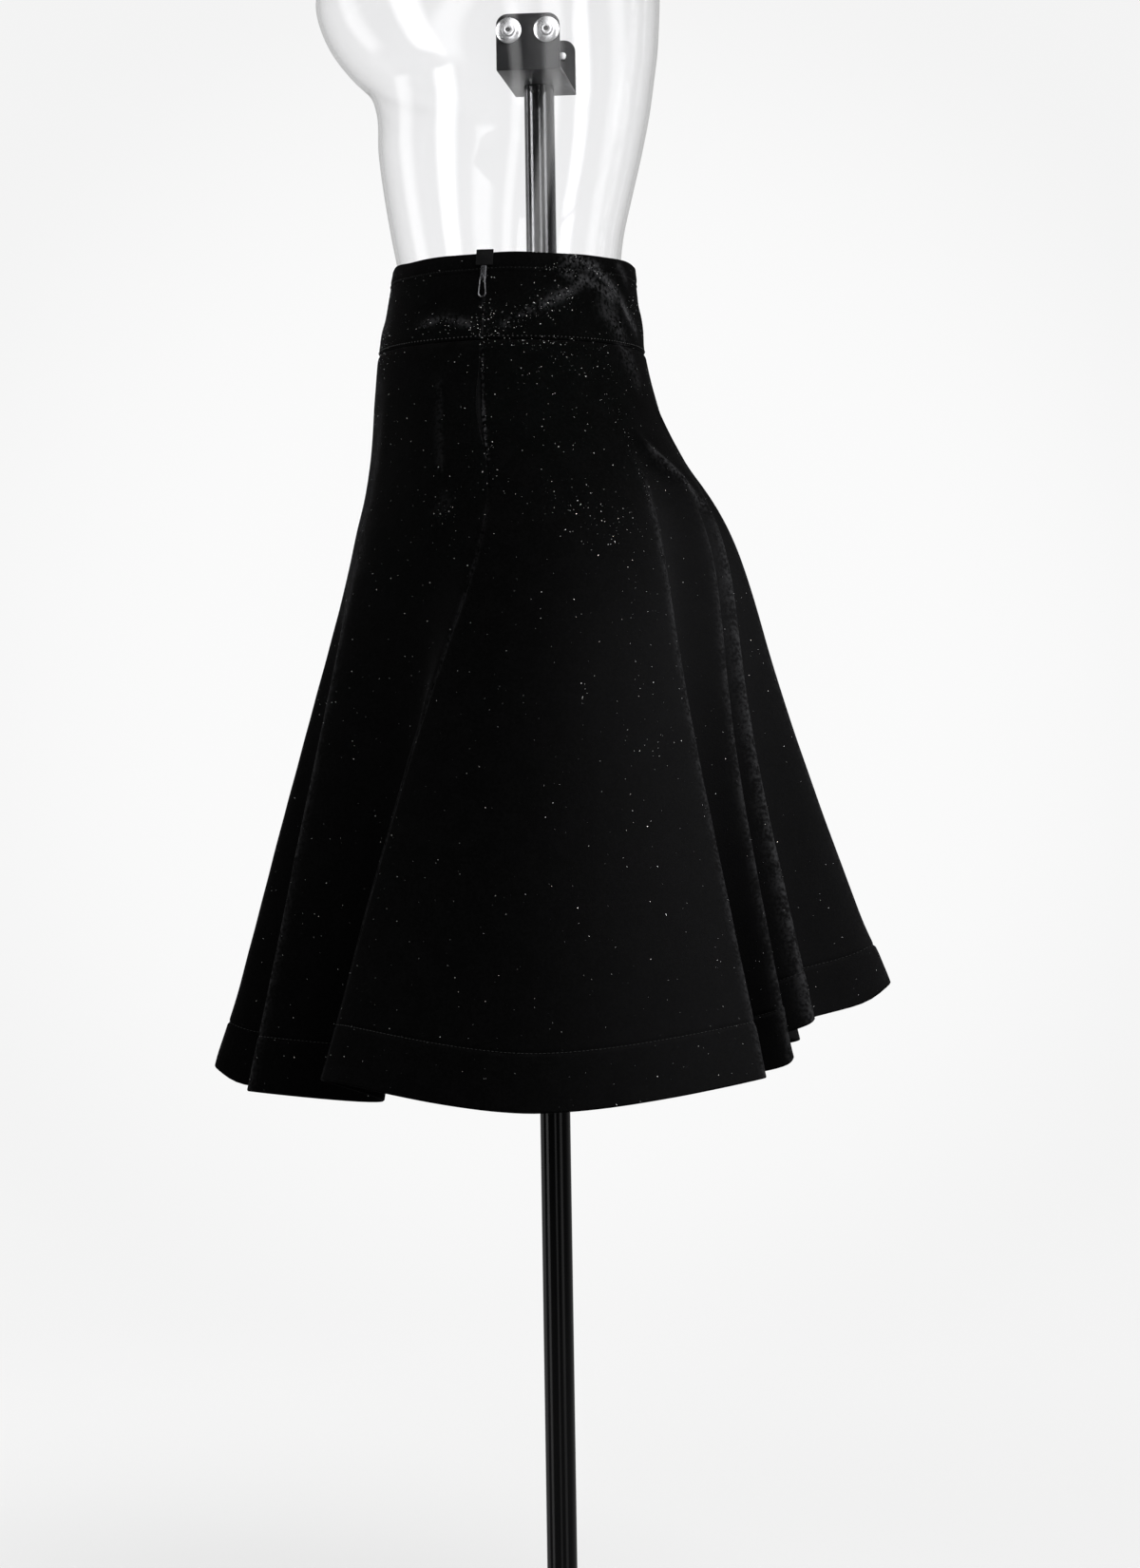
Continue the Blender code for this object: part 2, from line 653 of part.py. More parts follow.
def form_bottom():
    """The form's open bottom: its height, middle on Y, half width and half depth."""
    ring = np.array(form_rings()[-1])
    middle = (ring[:, 1].min() + ring[:, 1].max()) / 2
    return ring[0, 2], middle, ring[:, 0].max(), (ring[:, 1].max() - ring[:, 1].min()) / 2


def make_stand(collection, cutters):
    socket_radius = POLE_RADIUS + SEAM_GAP
    base = (
        (0.0, SOCKET_FLOOR), (socket_radius, SOCKET_FLOOR), (socket_radius, SOCKET_HEIGHT),
        (SOCKET_RADIUS - SOCKET_BEVEL, SOCKET_HEIGHT), (SOCKET_RADIUS, SOCKET_HEIGHT - SOCKET_BEVEL),
        (SOCKET_RADIUS, BASE_THICKNESS), (BASE_RADIUS - BASE_BEVEL, BASE_THICKNESS),
        (BASE_RADIUS, BASE_THICKNESS - BASE_BEVEL), (BASE_RADIUS, 0.0), (0.0, 0.0),
    )
    add_turned("base_plate", base, 40, "black_metal", collection)
    foot = SOCKET_FLOOR + SEAM_GAP
    middle_height = (POLE_TOP + foot) / 2
    pole = cylinder_mesh("pole", POLE_RADIUS, POLE_TOP - foot, 32, (0.0, 0.0, middle_height), (0, 0, 1))
    add_object("pole", pole, "black_metal", collection)

    bottom, middle, half_width, half_depth = form_bottom()
    plate_top = bottom - SEAM_GAP
    plate_mesh = cylinder_mesh("form_plate", 1.0, PLATE_THICKNESS, 40, (0.0, 0.0, 0.0), (0, 0, 1))
    for vertex in plate_mesh.vertices:
        vertex.co.x *= half_width - PLATE_INSET
        vertex.co.y = vertex.co.y * (half_depth - PLATE_INSET) + middle
        vertex.co.z += plate_top - PLATE_THICKNESS / 2
    plate = add_object("form_plate", plate_mesh, "black_metal", collection)
    cutter_length = PLATE_THICKNESS * 4
    hole = cylinder_mesh("plate_hole", socket_radius, cutter_length, 32, (0.0, 0.0, plate_top), (0, 0, 1))
    boolean(plate, hole, "DIFFERENCE", cutters)

    collar_top = plate_top - PLATE_THICKNESS - SEAM_GAP
    collar_foot = collar_top - COLLAR_HEIGHT
    collar = (
        (socket_radius, collar_top), (COLLAR_RADIUS - COLLAR_BEVEL, collar_top),
        (COLLAR_RADIUS, collar_top - COLLAR_BEVEL), (COLLAR_RADIUS, collar_foot + COLLAR_BEVEL),
        (COLLAR_RADIUS - COLLAR_BEVEL, collar_foot), (socket_radius, collar_foot),
        (socket_radius, collar_top),
    )
    add_turned("pole_collar", collar, 24, "black_metal", collection)


def make_bracket(collection, cutters):
    """A sheet folded into a U on the pole's top, with the top corners of both flanges cut off."""
    floor = POLE_TOP + SEAM_GAP + BRACKET_SHEET
    top = POLE_TOP + SEAM_GAP + BRACKET_HEIGHT
    half = BRACKET_WIDTH / 2
    bm = bmesh.new()
    flanges = []
    for x in (BRACKET_NEAR_X, BRACKET_FAR_X):
        outline = ((-half, floor), (half, floor), (half, top - BRACKET_CORNER),
                   (half - BRACKET_CORNER, top), (BRACKET_CORNER - half, top), (-half, top - BRACKET_CORNER))
        flanges.append([bm.verts.new((x, y, z)) for y, z in outline])
    near, far = flanges
    bm.faces.new(near)
    bm.faces.new(reversed(far))
    bm.faces.new((near[1], near[0], far[0], far[1]))
    bracket = add_object("bracket", finish_bmesh(bm, "bracket"), "black_metal", collection)
    sheet = bracket.modifiers.new("sheet", "SOLIDIFY")
    sheet.thickness = BRACKET_SHEET
    sheet.offset = 1.0
    sheet.use_even_offset = True
    for i, y in enumerate((-WASHER_SPACING / 2, WASHER_SPACING / 2)):
        for side, x, facing in (("near", BRACKET_NEAR_X, 1), ("far", BRACKET_FAR_X, -1)):
            face = x + facing * BRACKET_SHEET
            bore = cylinder_mesh(f"bore_{side}_{i + 1}", SCREW_RADIUS + SEAM_GAP, BRACKET_SHEET * 6, 20,
                                 (x, y, WASHER_HEIGHT), (1, 0, 0))
            boolean(bracket, bore, "DIFFERENCE", cutters)
            make_fastener(f"{side}_{i + 1}", face, y, facing, collection)


def make_fastener(label, face, y, facing, collection):
    """A dished washer on a flange's outer face, and the socket screw through it."""
    start = face + facing * SEAM_GAP
    inner = SCREW_RADIUS + SEAM_GAP
    washer = (
        (inner, WASHER_DISH), (inner + WASHER_CROWN_OUT, WASHER_DISH + WASHER_CROWN),
        (WASHER_SHOULDER, WASHER_DISH), (WASHER_RADIUS, WASHER_EDGE), (WASHER_RADIUS, 0.0),
        (inner, 0.0), (inner, WASHER_DISH),
    )
    under = WASHER_DISH + SCREW_HEAD_LIFT
    socket_floor = under + SCREW_HEAD_BEVEL
    head = under + SCREW_HEAD
    screw = (
        (0.0, socket_floor), (SCREW_SOCKET, socket_floor), (SCREW_SOCKET, head),
        (SCREW_HEAD_RADIUS - SCREW_HEAD_BEVEL, head), (SCREW_HEAD_RADIUS, head - SCREW_HEAD_BEVEL),
        (SCREW_HEAD_RADIUS, under), (SCREW_RADIUS, under), (SCREW_RADIUS, -SCREW_LENGTH),
        (0.0, -SCREW_LENGTH),
    )
    for name, profile in ((f"washer_{label}", washer), (f"screw_{label}", screw)):
        obj = add_turned(name, profile, 16, "bright_steel", collection)
        obj.rotation_euler = (0.0, facing * math.pi / 2, 0.0)
        obj.location = (start, y, WASHER_HEIGHT)


def main():
    clear_scene()
    parts = make_collection("skater_skirt_on_dress_form")
    cutters = make_collection("cutters")
    cutters.hide_render = True
    make_yoke(parts)
    make_skirt(parts)
    make_zip_tape(parts)
    make_zip_fittings(parts, cutters)
    make_zip_pull(parts)
    make_form(parts)
    make_stand(parts, cutters)
    make_bracket(parts, cutters)


main()
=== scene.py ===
# %% [markdown]
# # A flared velvet skirt on a clear dress form
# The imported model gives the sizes, the joint and one plain solid for each piece. This lesson gives each of them
# its finished form and its finish: the velvet with its folds, seams, stitches and glitter, the zip, the clear
# torso form and the stand. Lengths are in metres. The front of the garment faces -Y and its zip side faces +X.

# %% Load the frame
import math
from collections import namedtuple

import bmesh
import bpy
import numpy as np
from mathutils import Matrix, Vector


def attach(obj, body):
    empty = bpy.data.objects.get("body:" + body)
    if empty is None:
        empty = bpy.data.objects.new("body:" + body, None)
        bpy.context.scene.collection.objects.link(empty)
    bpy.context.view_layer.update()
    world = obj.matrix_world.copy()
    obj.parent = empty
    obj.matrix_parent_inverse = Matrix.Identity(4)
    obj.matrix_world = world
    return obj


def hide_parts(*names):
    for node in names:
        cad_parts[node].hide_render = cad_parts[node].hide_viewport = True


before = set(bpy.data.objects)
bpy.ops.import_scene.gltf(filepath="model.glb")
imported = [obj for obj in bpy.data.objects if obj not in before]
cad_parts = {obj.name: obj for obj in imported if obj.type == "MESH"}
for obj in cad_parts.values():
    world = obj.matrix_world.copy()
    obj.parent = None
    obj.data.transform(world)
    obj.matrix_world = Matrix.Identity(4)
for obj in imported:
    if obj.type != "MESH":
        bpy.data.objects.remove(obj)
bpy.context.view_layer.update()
GARMENT = "garment_on_stand"
PULL = "pull_tab"
print("the frame holds", len(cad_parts), "nodes")

# %% [markdown]
# ## The cut of the cloth
# A flared skirt is smooth over the hips and falls from there in deep flutes. Each crest and each valley leaves
# the hips at one place and reaches the hem at another. So the cloth is a stack of closed rings, one for each
# level below the top edge, and each ring runs through the crests and valleys on a smooth curve. The tables hold
# the same sizes as the solids, and the rings here are only closer together.

# %% The sizes of the garment
TOP_HEIGHT = 1.103
SKIRT_LENGTH = 0.660
YOKE_DEPTH = 0.068
CLOTH = 0.0018
TURNED_EDGE = 0.0026
BAND_RISE = (TURNED_EDGE - CLOTH) / 2
TOP_BAND_DEPTH = 0.0135
HEM_DEPTH = 0.044
HEM_DROP = SKIRT_LENGTH - HEM_DEPTH
SEAM_GAP = 0.0003
STRAIGHTENING = 6
FOLD_GROWTH = 2.5
SLOPE_STEP = 0.002
ZIP_BEARING = 84.7
ZIP_LENGTH = 0.160
ZIP_LENS_WIDTH = 0.0040
ZIP_LENS_START = 0.075
print("the skirt hangs", SKIRT_LENGTH, "m from a waist at", TOP_HEIGHT, "m")

# %% The hips, level by level
Level = namedtuple("Level", "drop front back side centre")
HIP_LEVELS = (
    Level(0.000, -0.1170, 0.0730, 0.1165, -0.0220),
    Level(0.034, -0.1235, 0.0765, 0.1250, -0.0230),
    Level(0.068, -0.1305, 0.0805, 0.1335, -0.0240),
    Level(0.100, -0.1335, 0.0875, 0.1420, -0.0230),
    Level(0.130, -0.1355, 0.0970, 0.1510, -0.0210),
    Level(0.155, -0.1380, 0.1110, 0.1590, -0.0170),
    Level(0.178, -0.1420, 0.1270, 0.1665, -0.0120),
    Level(0.210, -0.1500, 0.1420, 0.1760, -0.0060),
    Level(0.250, -0.1610, 0.1560, 0.1870, -0.0020),
)
print(len(HIP_LEVELS), "levels of the smooth hips")

# %% The crests and the valleys
Fold = namedtuple("Fold", "name bearing reach height start_bearing start_drop bend")
FOLDS = (
    Fold("front_crest", 2, 0.272, 0.463, 4, 0.185, 0.75),
    Fold("front_side_valley", 14, 0.214, 0.457, 14, 0.200, 0.80),
    Fold("front_side_crest", 24, 0.250, 0.461, 24, 0.180, 0.60),
    Fold("zip_side_valley", 47, 0.176, 0.454, 68, 0.150, 0.80),
    Fold("zip_seam_crest", 54, 0.260, 0.477, ZIP_BEARING, 0.162, 0.45),
    Fold("zip_side_panel", 93, 0.278, 0.456, 108, 0.170, 1.05),
    Fold("back_side_crest", 132, 0.269, 0.475, 140, 0.145, 0.40),
    Fold("back_side_valley", 137, 0.196, 0.468, 147, 0.140, 0.80),
    Fold("thin_crest", 141, 0.254, 0.485, 157, 0.172, 0.60),
    Fold("thin_valley", 145, 0.200, 0.490, 162, 0.160, 0.80),
    Fold("round_crest", 149, 0.247, 0.512, 167, 0.172, 0.75),
    Fold("back_zip_valley", 160, 0.186, 0.503, 173, 0.162, 0.80),
    Fold("back_crest", 177, 0.268, 0.524, 180, 0.172, 0.75),
    Fold("back_far_valley", 192, 0.194, 0.503, 189, 0.162, 0.80),
    Fold("far_round_crest", 207, 0.253, 0.512, 198, 0.172, 0.70),
    Fold("far_thin_valley", 214, 0.200, 0.492, 206, 0.158, 0.80),
    Fold("far_back_crest", 226, 0.266, 0.478, 219, 0.150, 0.50),
    Fold("far_panel", 268, 0.277, 0.457, 250, 0.168, 1.05),
    Fold("far_seam_crest", 306, 0.262, 0.475, 276, 0.160, 0.50),
    Fold("far_side_valley", 315, 0.182, 0.455, 294, 0.152, 0.80),
    Fold("far_front_crest", 335, 0.254, 0.461, 333, 0.180, 0.60),
    Fold("far_front_valley", 347, 0.212, 0.458, 346, 0.195, 0.80),
)
WIDE_PANELS = ("zip_side_panel", "far_panel")
ZIP_SEAM = "zip_seam_crest"
FAR_SEAM = "far_seam_crest"
FOLD_NAMES = [fold.name for fold in FOLDS]
FAR_BEARING = FOLDS[FOLD_NAMES.index(FAR_SEAM)].start_bearing
print(len(FOLDS), "crests and valleys")


# %% The smooth hips
def smoothstep(value):
    value = np.clip(value, 0.0, 1.0)
    return value * value * (3.0 - 2.0 * value)


def hermite(start, start_slope, end, end_slope, t):
    return (
        (2 * t**3 - 3 * t**2 + 1) * start
        + (t**3 - 2 * t**2 + t) * start_slope
        + (3 * t**2 - 2 * t**3) * end
        + (t**3 - t**2) * end_slope
    )


def read_level(levels, key, at, field):
    """A named column of a table of levels, read between its rows on a smooth curve."""
    places = np.array([getattr(level, key) for level in levels])
    values = np.array([getattr(level, field) for level in levels])
    if places[0] > places[-1]:
        places, values = places[::-1], values[::-1]
    slopes = np.gradient(values, places)
    at = float(np.clip(at, places[0], places[-1]))
    i = int(np.clip(np.searchsorted(places, at) - 1, 0, len(places) - 2))
    width = places[i + 1] - places[i]
    t = (at - places[i]) / width
    return hermite(values[i], slopes[i] * width, values[i + 1], slopes[i + 1] * width, t)


def hip_point(bearing, drop):
    """A point of the smooth hips, by its bearing round the pole and its drop below the top edge."""
    front, back, side, centre = (
        read_level(HIP_LEVELS, "drop", drop, field) for field in ("front", "back", "side", "centre")
    )
    angle = math.radians(bearing)
    depth = centre - front if math.cos(angle) > 0 else back - centre
    return np.array([side * math.sin(angle), centre - depth * math.cos(angle), TOP_HEIGHT - drop])


print("the hips at the yoke seam, at the front:", hip_point(0.0, YOKE_DEPTH).round(4))


# %% The folds
STEPS_PER_FOLD = 13
STEPS_ON_WIDE_PANEL = 26
SEAM_STEPS = (0.006, 0.013, 0.022, 0.035, 0.053)


def fold_point(fold, drop):
    """Where a crest or valley lies at a level, and how far the fold has grown there, from 0 to 1."""
    if drop <= fold.start_drop:
        return hip_point(fold.start_bearing, drop), 0.0
    start = hip_point(fold.start_bearing, fold.start_drop)
    angle = math.radians(fold.bearing)
    hem = np.array([fold.reach * math.sin(angle), -fold.reach * math.cos(angle), fold.height])
    slope = (start - hip_point(fold.start_bearing, fold.start_drop - SLOPE_STEP)) / SLOPE_STEP
    run = SKIRT_LENGTH - fold.start_drop
    grown = (drop - fold.start_drop) / run
    leaving = (slope * run - (hem - start)) * grown * (1.0 - grown) ** STRAIGHTENING
    return start + (hem - start) * grown + leaving, grown


def span_steps():
    """The steps from each fold to the next, closer together beside a seam."""
    spans = []
    for i, fold in enumerate(FOLDS):
        follower = FOLDS[(i + 1) % len(FOLDS)]
        wide = fold.name in WIDE_PANELS or follower.name in WIDE_PANELS
        count = STEPS_ON_WIDE_PANEL if wide else STEPS_PER_FOLD
        steps = set(np.round(np.arange(count) / count, 6))
        if fold.name in (ZIP_SEAM, FAR_SEAM):
            steps |= set(SEAM_STEPS)
        if follower.name in (ZIP_SEAM, FAR_SEAM):
            steps |= {round(1.0 - step, 6) for step in SEAM_STEPS}
        spans.append(np.array(sorted(steps)))
    return spans


SPANS = span_steps()
print(sum(len(steps) for steps in SPANS), "steps round a ring")


# %% A ring through the folds
def cloth_ring(drop):
    """The cloth's outer face at one level: a closed curve through the crests and valleys there."""
    found = [fold_point(fold, drop) for fold in FOLDS]
    points = np.array([point for point, _ in found])
    grown = np.array([smoothstep(share * FOLD_GROWTH) for _, share in found])
    bend = np.array([fold.bend for fold in FOLDS])
    tension = 1.0 + (bend - 1.0) * grown
    after = np.roll(points, -1, axis=0) - points
    length = np.linalg.norm(after, axis=1)
    before_length = np.roll(length, 1)
    ahead = after / length[:, None]
    behind = np.roll(ahead, 1, axis=0)
    even = 1.0 - grown
    heading = behind * (length**even)[:, None] + ahead * (before_length**even)[:, None]
    heading /= np.linalg.norm(heading, axis=1)[:, None]
    ring = []
    for i, steps in enumerate(SPANS):
        j = (i + 1) % len(FOLDS)
        leave = heading[i] * tension[i] * length[i]
        arrive = heading[j] * tension[j] * length[i]
        ring.append(hermite(points[i], leave, points[j], arrive, steps[:, None]))
    return np.concatenate(ring)


def column_of(name):
    return sum(len(steps) for steps in SPANS[:FOLD_NAMES.index(name)])


print("a ring at the hem has", len(cloth_ring(SKIRT_LENGTH)), "points")

# %% [markdown]
# ## Creases, seams and turned edges
# Velvet is thick, so it doesn't crumple: it gives a few long, soft ridges and troughs where it pulls over the
# form. They are listed in a table, as lines of bearings and drops with a width and a height. A wave
# texture would spread the same crease everywhere, and a simulation wouldn't put them where the photo has them.
# Seams and rows of stitches pull the cloth in, which is a narrow dip beside each of them.

# %% The creases
Crease = namedtuple("Crease", "line width height")
CREASES = (
    # On the zip side
    Crease(((67, 0.096), (67, 0.130), (67, 0.172)), 0.0035, 0.0007),
    Crease(((68, 0.188), (61, 0.216), (49, 0.240)), 0.0075, 0.0016),
    Crease(((74, 0.165), (70, 0.200), (60, 0.235)), 0.0090, -0.0014),
    Crease(((146, 0.140), (149, 0.153), (155, 0.164), (164, 0.186)), 0.0065, 0.0030),
    Crease(((138, 0.150), (146, 0.165), (156, 0.182)), 0.0080, -0.0022),
    Crease(((50, 0.058), (60, 0.052), (68, 0.051), (76, 0.054), (83, 0.064)), 0.0050, 0.0016),
    Crease(((52, 0.044), (66, 0.039), (80, 0.046)), 0.0060, -0.0011),
    Crease(((92, 0.054), (106, 0.044), (116, 0.036), (128, 0.026)), 0.0060, 0.0019),
    Crease(((94, 0.038), (108, 0.028), (124, 0.021)), 0.0065, -0.0013),
    Crease(((136, 0.014), (143, 0.024), (150, 0.038), (160, 0.054)), 0.0065, 0.0018),
    Crease(((150, 0.018), (158, 0.032), (166, 0.046)), 0.0070, -0.0012),
    Crease(((36, 0.100), (34, 0.140), (30, 0.190)), 0.0090, 0.0012),
    Crease(((104, 0.120), (110, 0.160), (118, 0.210)), 0.0110, 0.0010),
    # On the far side and at the front and back
    Crease(((286, 0.092), (285, 0.130), (287, 0.178)), 0.0070, 0.0015),
    Crease(((290, 0.180), (299, 0.212), (310, 0.236)), 0.0085, 0.0020),
    Crease(((216, 0.138), (209, 0.155), (201, 0.176)), 0.0070, 0.0026),
    Crease(((224, 0.150), (215, 0.166), (205, 0.184)), 0.0080, -0.0018),
    Crease(((306, 0.057), (294, 0.051), (281, 0.058)), 0.0055, 0.0014),
    Crease(((270, 0.052), (254, 0.041), (240, 0.028)), 0.0060, 0.0016),
    Crease(((262, 0.034), (248, 0.026), (232, 0.022)), 0.0065, -0.0011),
    Crease(((334, 0.050), (350, 0.044), (8, 0.048), (20, 0.056)), 0.0070, 0.0010),
    Crease(((340, 0.100), (338, 0.145), (335, 0.190)), 0.0090, 0.0012),
    Crease(((176, 0.030), (184, 0.044), (192, 0.058)), 0.0065, 0.0014),
    Crease(((172, 0.110), (178, 0.130), (183, 0.156)), 0.0080, 0.0015),
)
print(len(CREASES), "creases placed by hand")


# %% How far a point lies from a line on the cloth
def cloth_point(bearing, drop):
    """A point of the cloth before its creases, by its bearing and its drop."""
    if drop <= HIP_LEVELS[-1].drop:
        return hip_point(bearing, drop)
    ring = cloth_ring(drop)
    off = np.degrees(np.arctan2(ring[:, 0], -ring[:, 1])) - bearing
    return ring[np.argmin(np.abs((off + 180.0) % 360.0 - 180.0))]


def line_distance(points, line):
    """How far each point is from a line on the cloth, and how far along it, from 0 to 1, it is nearest."""
    knots = np.array([cloth_point(bearing, drop) for bearing, drop in line])
    best = np.full(points.shape[:-1], np.inf)
    along = np.zeros(points.shape[:-1])
    for k in range(len(knots) - 1):
        step = knots[k + 1] - knots[k]
        share = np.clip(((points - knots[k]) @ step) / (step @ step), 0.0, 1.0)
        gap = np.linalg.norm(points - (knots[k] + share[..., None] * step), axis=-1)
        near = gap < best
        best = np.where(near, gap, best)
        along = np.where(near, (k + share) / (len(knots) - 1), along)
    return best, along


print("a crease starts at", cloth_point(*CREASES[0].line[0]).round(4))


# %% The height of the creases, and a slow swell
SWELL_WAVES = 7
CREASE_END = 0.06
CREASE_TAPER = 0.8


def crease_height(points):
    height = np.zeros(points.shape[:-1])
    for crease in CREASES:
        gap, along = line_distance(points, crease.line)
        taper = np.sin(math.pi * (CREASE_END + (1 - 2 * CREASE_END) * along)) ** CREASE_TAPER
        height += crease.height * taper * np.exp(-((gap / crease.width) ** 2))
    return height


def waviness(points, size, seed):
    """A slow, uneven swell of the cloth, from a few sine waves with seeded directions."""
    dice = np.random.default_rng(seed)
    swell = np.zeros(points.shape[:-1])
    for _ in range(SWELL_WAVES):
        direction = dice.normal(size=3)
        direction *= 2 * math.pi / (size * dice.uniform(0.7, 1.6)) / np.linalg.norm(direction)
        swell += np.sin(points @ direction + dice.uniform(0, 2 * math.pi))
    return swell / SWELL_WAVES


print("the highest crease is", max(crease.height for crease in CREASES), "m")

# %% [markdown]
# ## The four velvet panels
# A maker cuts a yoke and a skirt, each with a front and a back, and joins them at the sides. Each panel is a
# thin closed wall: the outer face with its creases, the inner face one thickness behind it, and rounded edges
# where the cloth is turned at the top and the hem. The wall is built from grids of points, because every edge,
# seam and row of stitches then lies exactly on a row or a column.

# %% Grids, walls and pieces
DIP_WIDTH = 0.0022
STITCH_DIP = 0.0007
SEAM_DIP = 0.0010
SEAM_EASE = 0.030
print("a seam is a dip", SEAM_DIP, "m deep")


def rows_between(*spans):
    """Levels from a list of (first, last, step) spans, without repeats."""
    drops = []
    for first, last, step in spans:
        count = max(1, round((last - first) / step))
        drops += list(np.linspace(first, last, count + 1))
    return np.unique(np.round(drops, 6))


def outward(grid):
    along = np.roll(grid, -1, axis=1) - np.roll(grid, 1, axis=1)
    down = np.gradient(grid, axis=0)
    normal = np.cross(down, along)
    return normal / np.linalg.norm(normal, axis=2)[:, :, None]


def cut_grid(grid, first, last):
    count = grid.shape[1]
    if last <= first:
        last += count
    return grid[:, [i % count for i in range(first, last + 1)]]


def wall_faces(rows, columns):
    """The faces of an outer and an inner grid, and of the four edges between them."""
    at = np.arange(rows * columns).reshape(rows, columns)
    quads = np.stack([at[:-1, :-1], at[1:, :-1], at[1:, 1:], at[:-1, 1:]], axis=-1).reshape(-1, 4)
    behind = rows * columns
    edge = np.concatenate([at[0], at[1:, -1], at[-1, -2::-1], at[-2:0:-1, 0]])
    following = np.roll(edge, -1)
    rim = np.stack([edge, following, behind + following, behind + edge], axis=-1)
    return np.concatenate([quads, behind + quads[:, ::-1], rim])


# %% Add a finished piece
def add_object(name, data):
    obj = bpy.data.objects.new(name, data)
    bpy.context.scene.collection.objects.link(obj)
    return obj


def apply_modifiers(carrier, name):
    """The mesh that an object's modifiers make, under a name of its own. The object goes."""
    depsgraph = bpy.context.evaluated_depsgraph_get()
    mesh = bpy.data.meshes.new_from_object(carrier.evaluated_get(depsgraph))
    carrier.modifiers.clear()
    bpy.data.objects.remove(carrier)
    mesh.name = name
    return mesh


def add_mesh(name, points, faces, material, body=GARMENT):
    """A finished piece: its place is in its mesh, and it rides on its body."""
    mesh = bpy.data.meshes.new(name)
    mesh.from_pydata([tuple(p) for p in points], [], [list(map(int, f)) for f in faces])
    mesh.validate()
    mesh.shade_smooth()
    mesh.materials.append(material)
    obj = add_object(name, mesh)
    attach(obj, body)
    return obj


print("pieces ride on", GARMENT, "or on", PULL)

# %% [markdown]
# ## Shader groups
# Fine variation is shared by several finishes: a mottle that changes slowly over a surface, and a grain for
# the pile or the metal. Each is a small group of nodes with named inputs, built once. The groups put out only
# masks and heights, and the shader stays in each material, so the export can read it.

# %% Add a node, set it and link it
def feed(tree, node, inputs):
    """Gives each input of a node its value, or links it to the output of another node."""
    for label, value in inputs.items():
        if isinstance(value, bpy.types.NodeSocket):
            tree.links.new(value, node.inputs[label])
        else:
            node.inputs[label].default_value = value
    return node


def add_node(tree, kind, inputs=None, **settings):
    node = tree.nodes.new(kind)
    for name, value in settings.items():
        setattr(node, name, value)
    return feed(tree, node, inputs or {})


def arithmetic(tree, operation, first, second):
    """One step of arithmetic on two values, each a number or an output."""
    return add_node(tree, "ShaderNodeMath", {0: first, 1: second}, operation=operation).outputs["Value"]


def mapped(tree, value, low, high, low_gives, high_gives, curve="LINEAR"):
    """A value that runs between two levels while another runs from low to high."""
    return add_node(tree, "ShaderNodeMapRange", {
        "Value": value, "From Min": low, "From Max": high, "To Min": low_gives, "To Max": high_gives,
    }, interpolation_type=curve).outputs["Result"]


def object_place(tree):
    return tree.nodes.new("ShaderNodeTexCoord").outputs["Object"]


print("a node is added, set and linked in one call")


# %% Build the shared groups
def new_group(name, inputs, output):
    group = bpy.data.node_groups.new(name, "ShaderNodeTree")
    for label, value in inputs.items():
        socket = group.interface.new_socket(label, in_out="INPUT", socket_type="NodeSocketFloat")
        socket.default_value = value
    group.interface.new_socket(output, in_out="OUTPUT", socket_type="NodeSocketFloat")
    return group, group.nodes.new("NodeGroupInput").outputs, group.nodes.new("NodeGroupOutput")


def mottle_group():
    """A mask from two noises, one coarse and one fine."""
    group, enter, leave = new_group(
        "mottle", {"Coarse scale": 12.0, "Fine scale": 60.0, "Fine share": 0.35}, "Mask"
    )
    place = object_place(group)
    coarse, fine = (
        add_node(group, "ShaderNodeTexNoise", {"Vector": place, "Scale": enter[scale], "Detail": detail})
        for scale, detail in (("Coarse scale", 3.0), ("Fine scale", 2.0))
    )
    mix = add_node(group, "ShaderNodeMix", {
        "Factor": enter["Fine share"], "A": coarse.outputs["Fac"], "B": fine.outputs["Fac"],
    })
    feed(group, leave, {"Mask": mix.outputs["Result"]})
    return group


def grain_group():
    """A fine height for a bump: stretched noise, as of pile or of brushed metal."""
    group, enter, leave = new_group("grain", {"Scale": 900.0, "Stretch": 0.4}, "Height")
    join = add_node(group, "ShaderNodeCombineXYZ", {"X": 1.0, "Y": 1.0, "Z": enter["Stretch"]})
    stretch = add_node(group, "ShaderNodeVectorMath", {0: object_place(group), 1: join.outputs["Vector"]},
                       operation="MULTIPLY")
    noise = add_node(group, "ShaderNodeTexNoise", {
        "Vector": stretch.outputs["Vector"], "Scale": enter["Scale"], "Detail": 1.0,
    })
    feed(group, leave, {"Height": noise.outputs["Fac"]})
    return group


MOTTLE = mottle_group()
GRAIN = grain_group()
print("shader groups:", MOTTLE.name, GRAIN.name)


# %% Helpers that place the groups in a material
def new_material(name):
    material = bpy.data.materials.new(name)
    material.use_nodes = True
    return material, material.node_tree, material.node_tree.nodes["Principled BSDF"]


def place_group(tree, group, *values):
    """A shared group in a material, with its inputs in their order. It has a single output."""
    return add_node(tree, "ShaderNodeGroup", dict(enumerate(values)), node_tree=group).outputs[0]


def between(tree, mask, low, high):
    """A value that runs from low to high with the middle of a mask."""
    return mapped(tree, mask, 0.3, 0.7, low, high)


def tint(tree, mask, dark, light):
    """A colour that runs from dark to light as a mask runs from 0 to 1."""
    return add_node(tree, "ShaderNodeMix", {"Factor": mask, 6: (*dark, 1.0), 7: (*light, 1.0)},
                    data_type="RGBA").outputs[2]


def bump(tree, scale, stretch, distance, strength):
    """A normal that follows the grain."""
    return add_node(tree, "ShaderNodeBump", {
        "Height": place_group(tree, GRAIN, scale, stretch), "Distance": distance, "Strength": strength,
    }).outputs["Normal"]


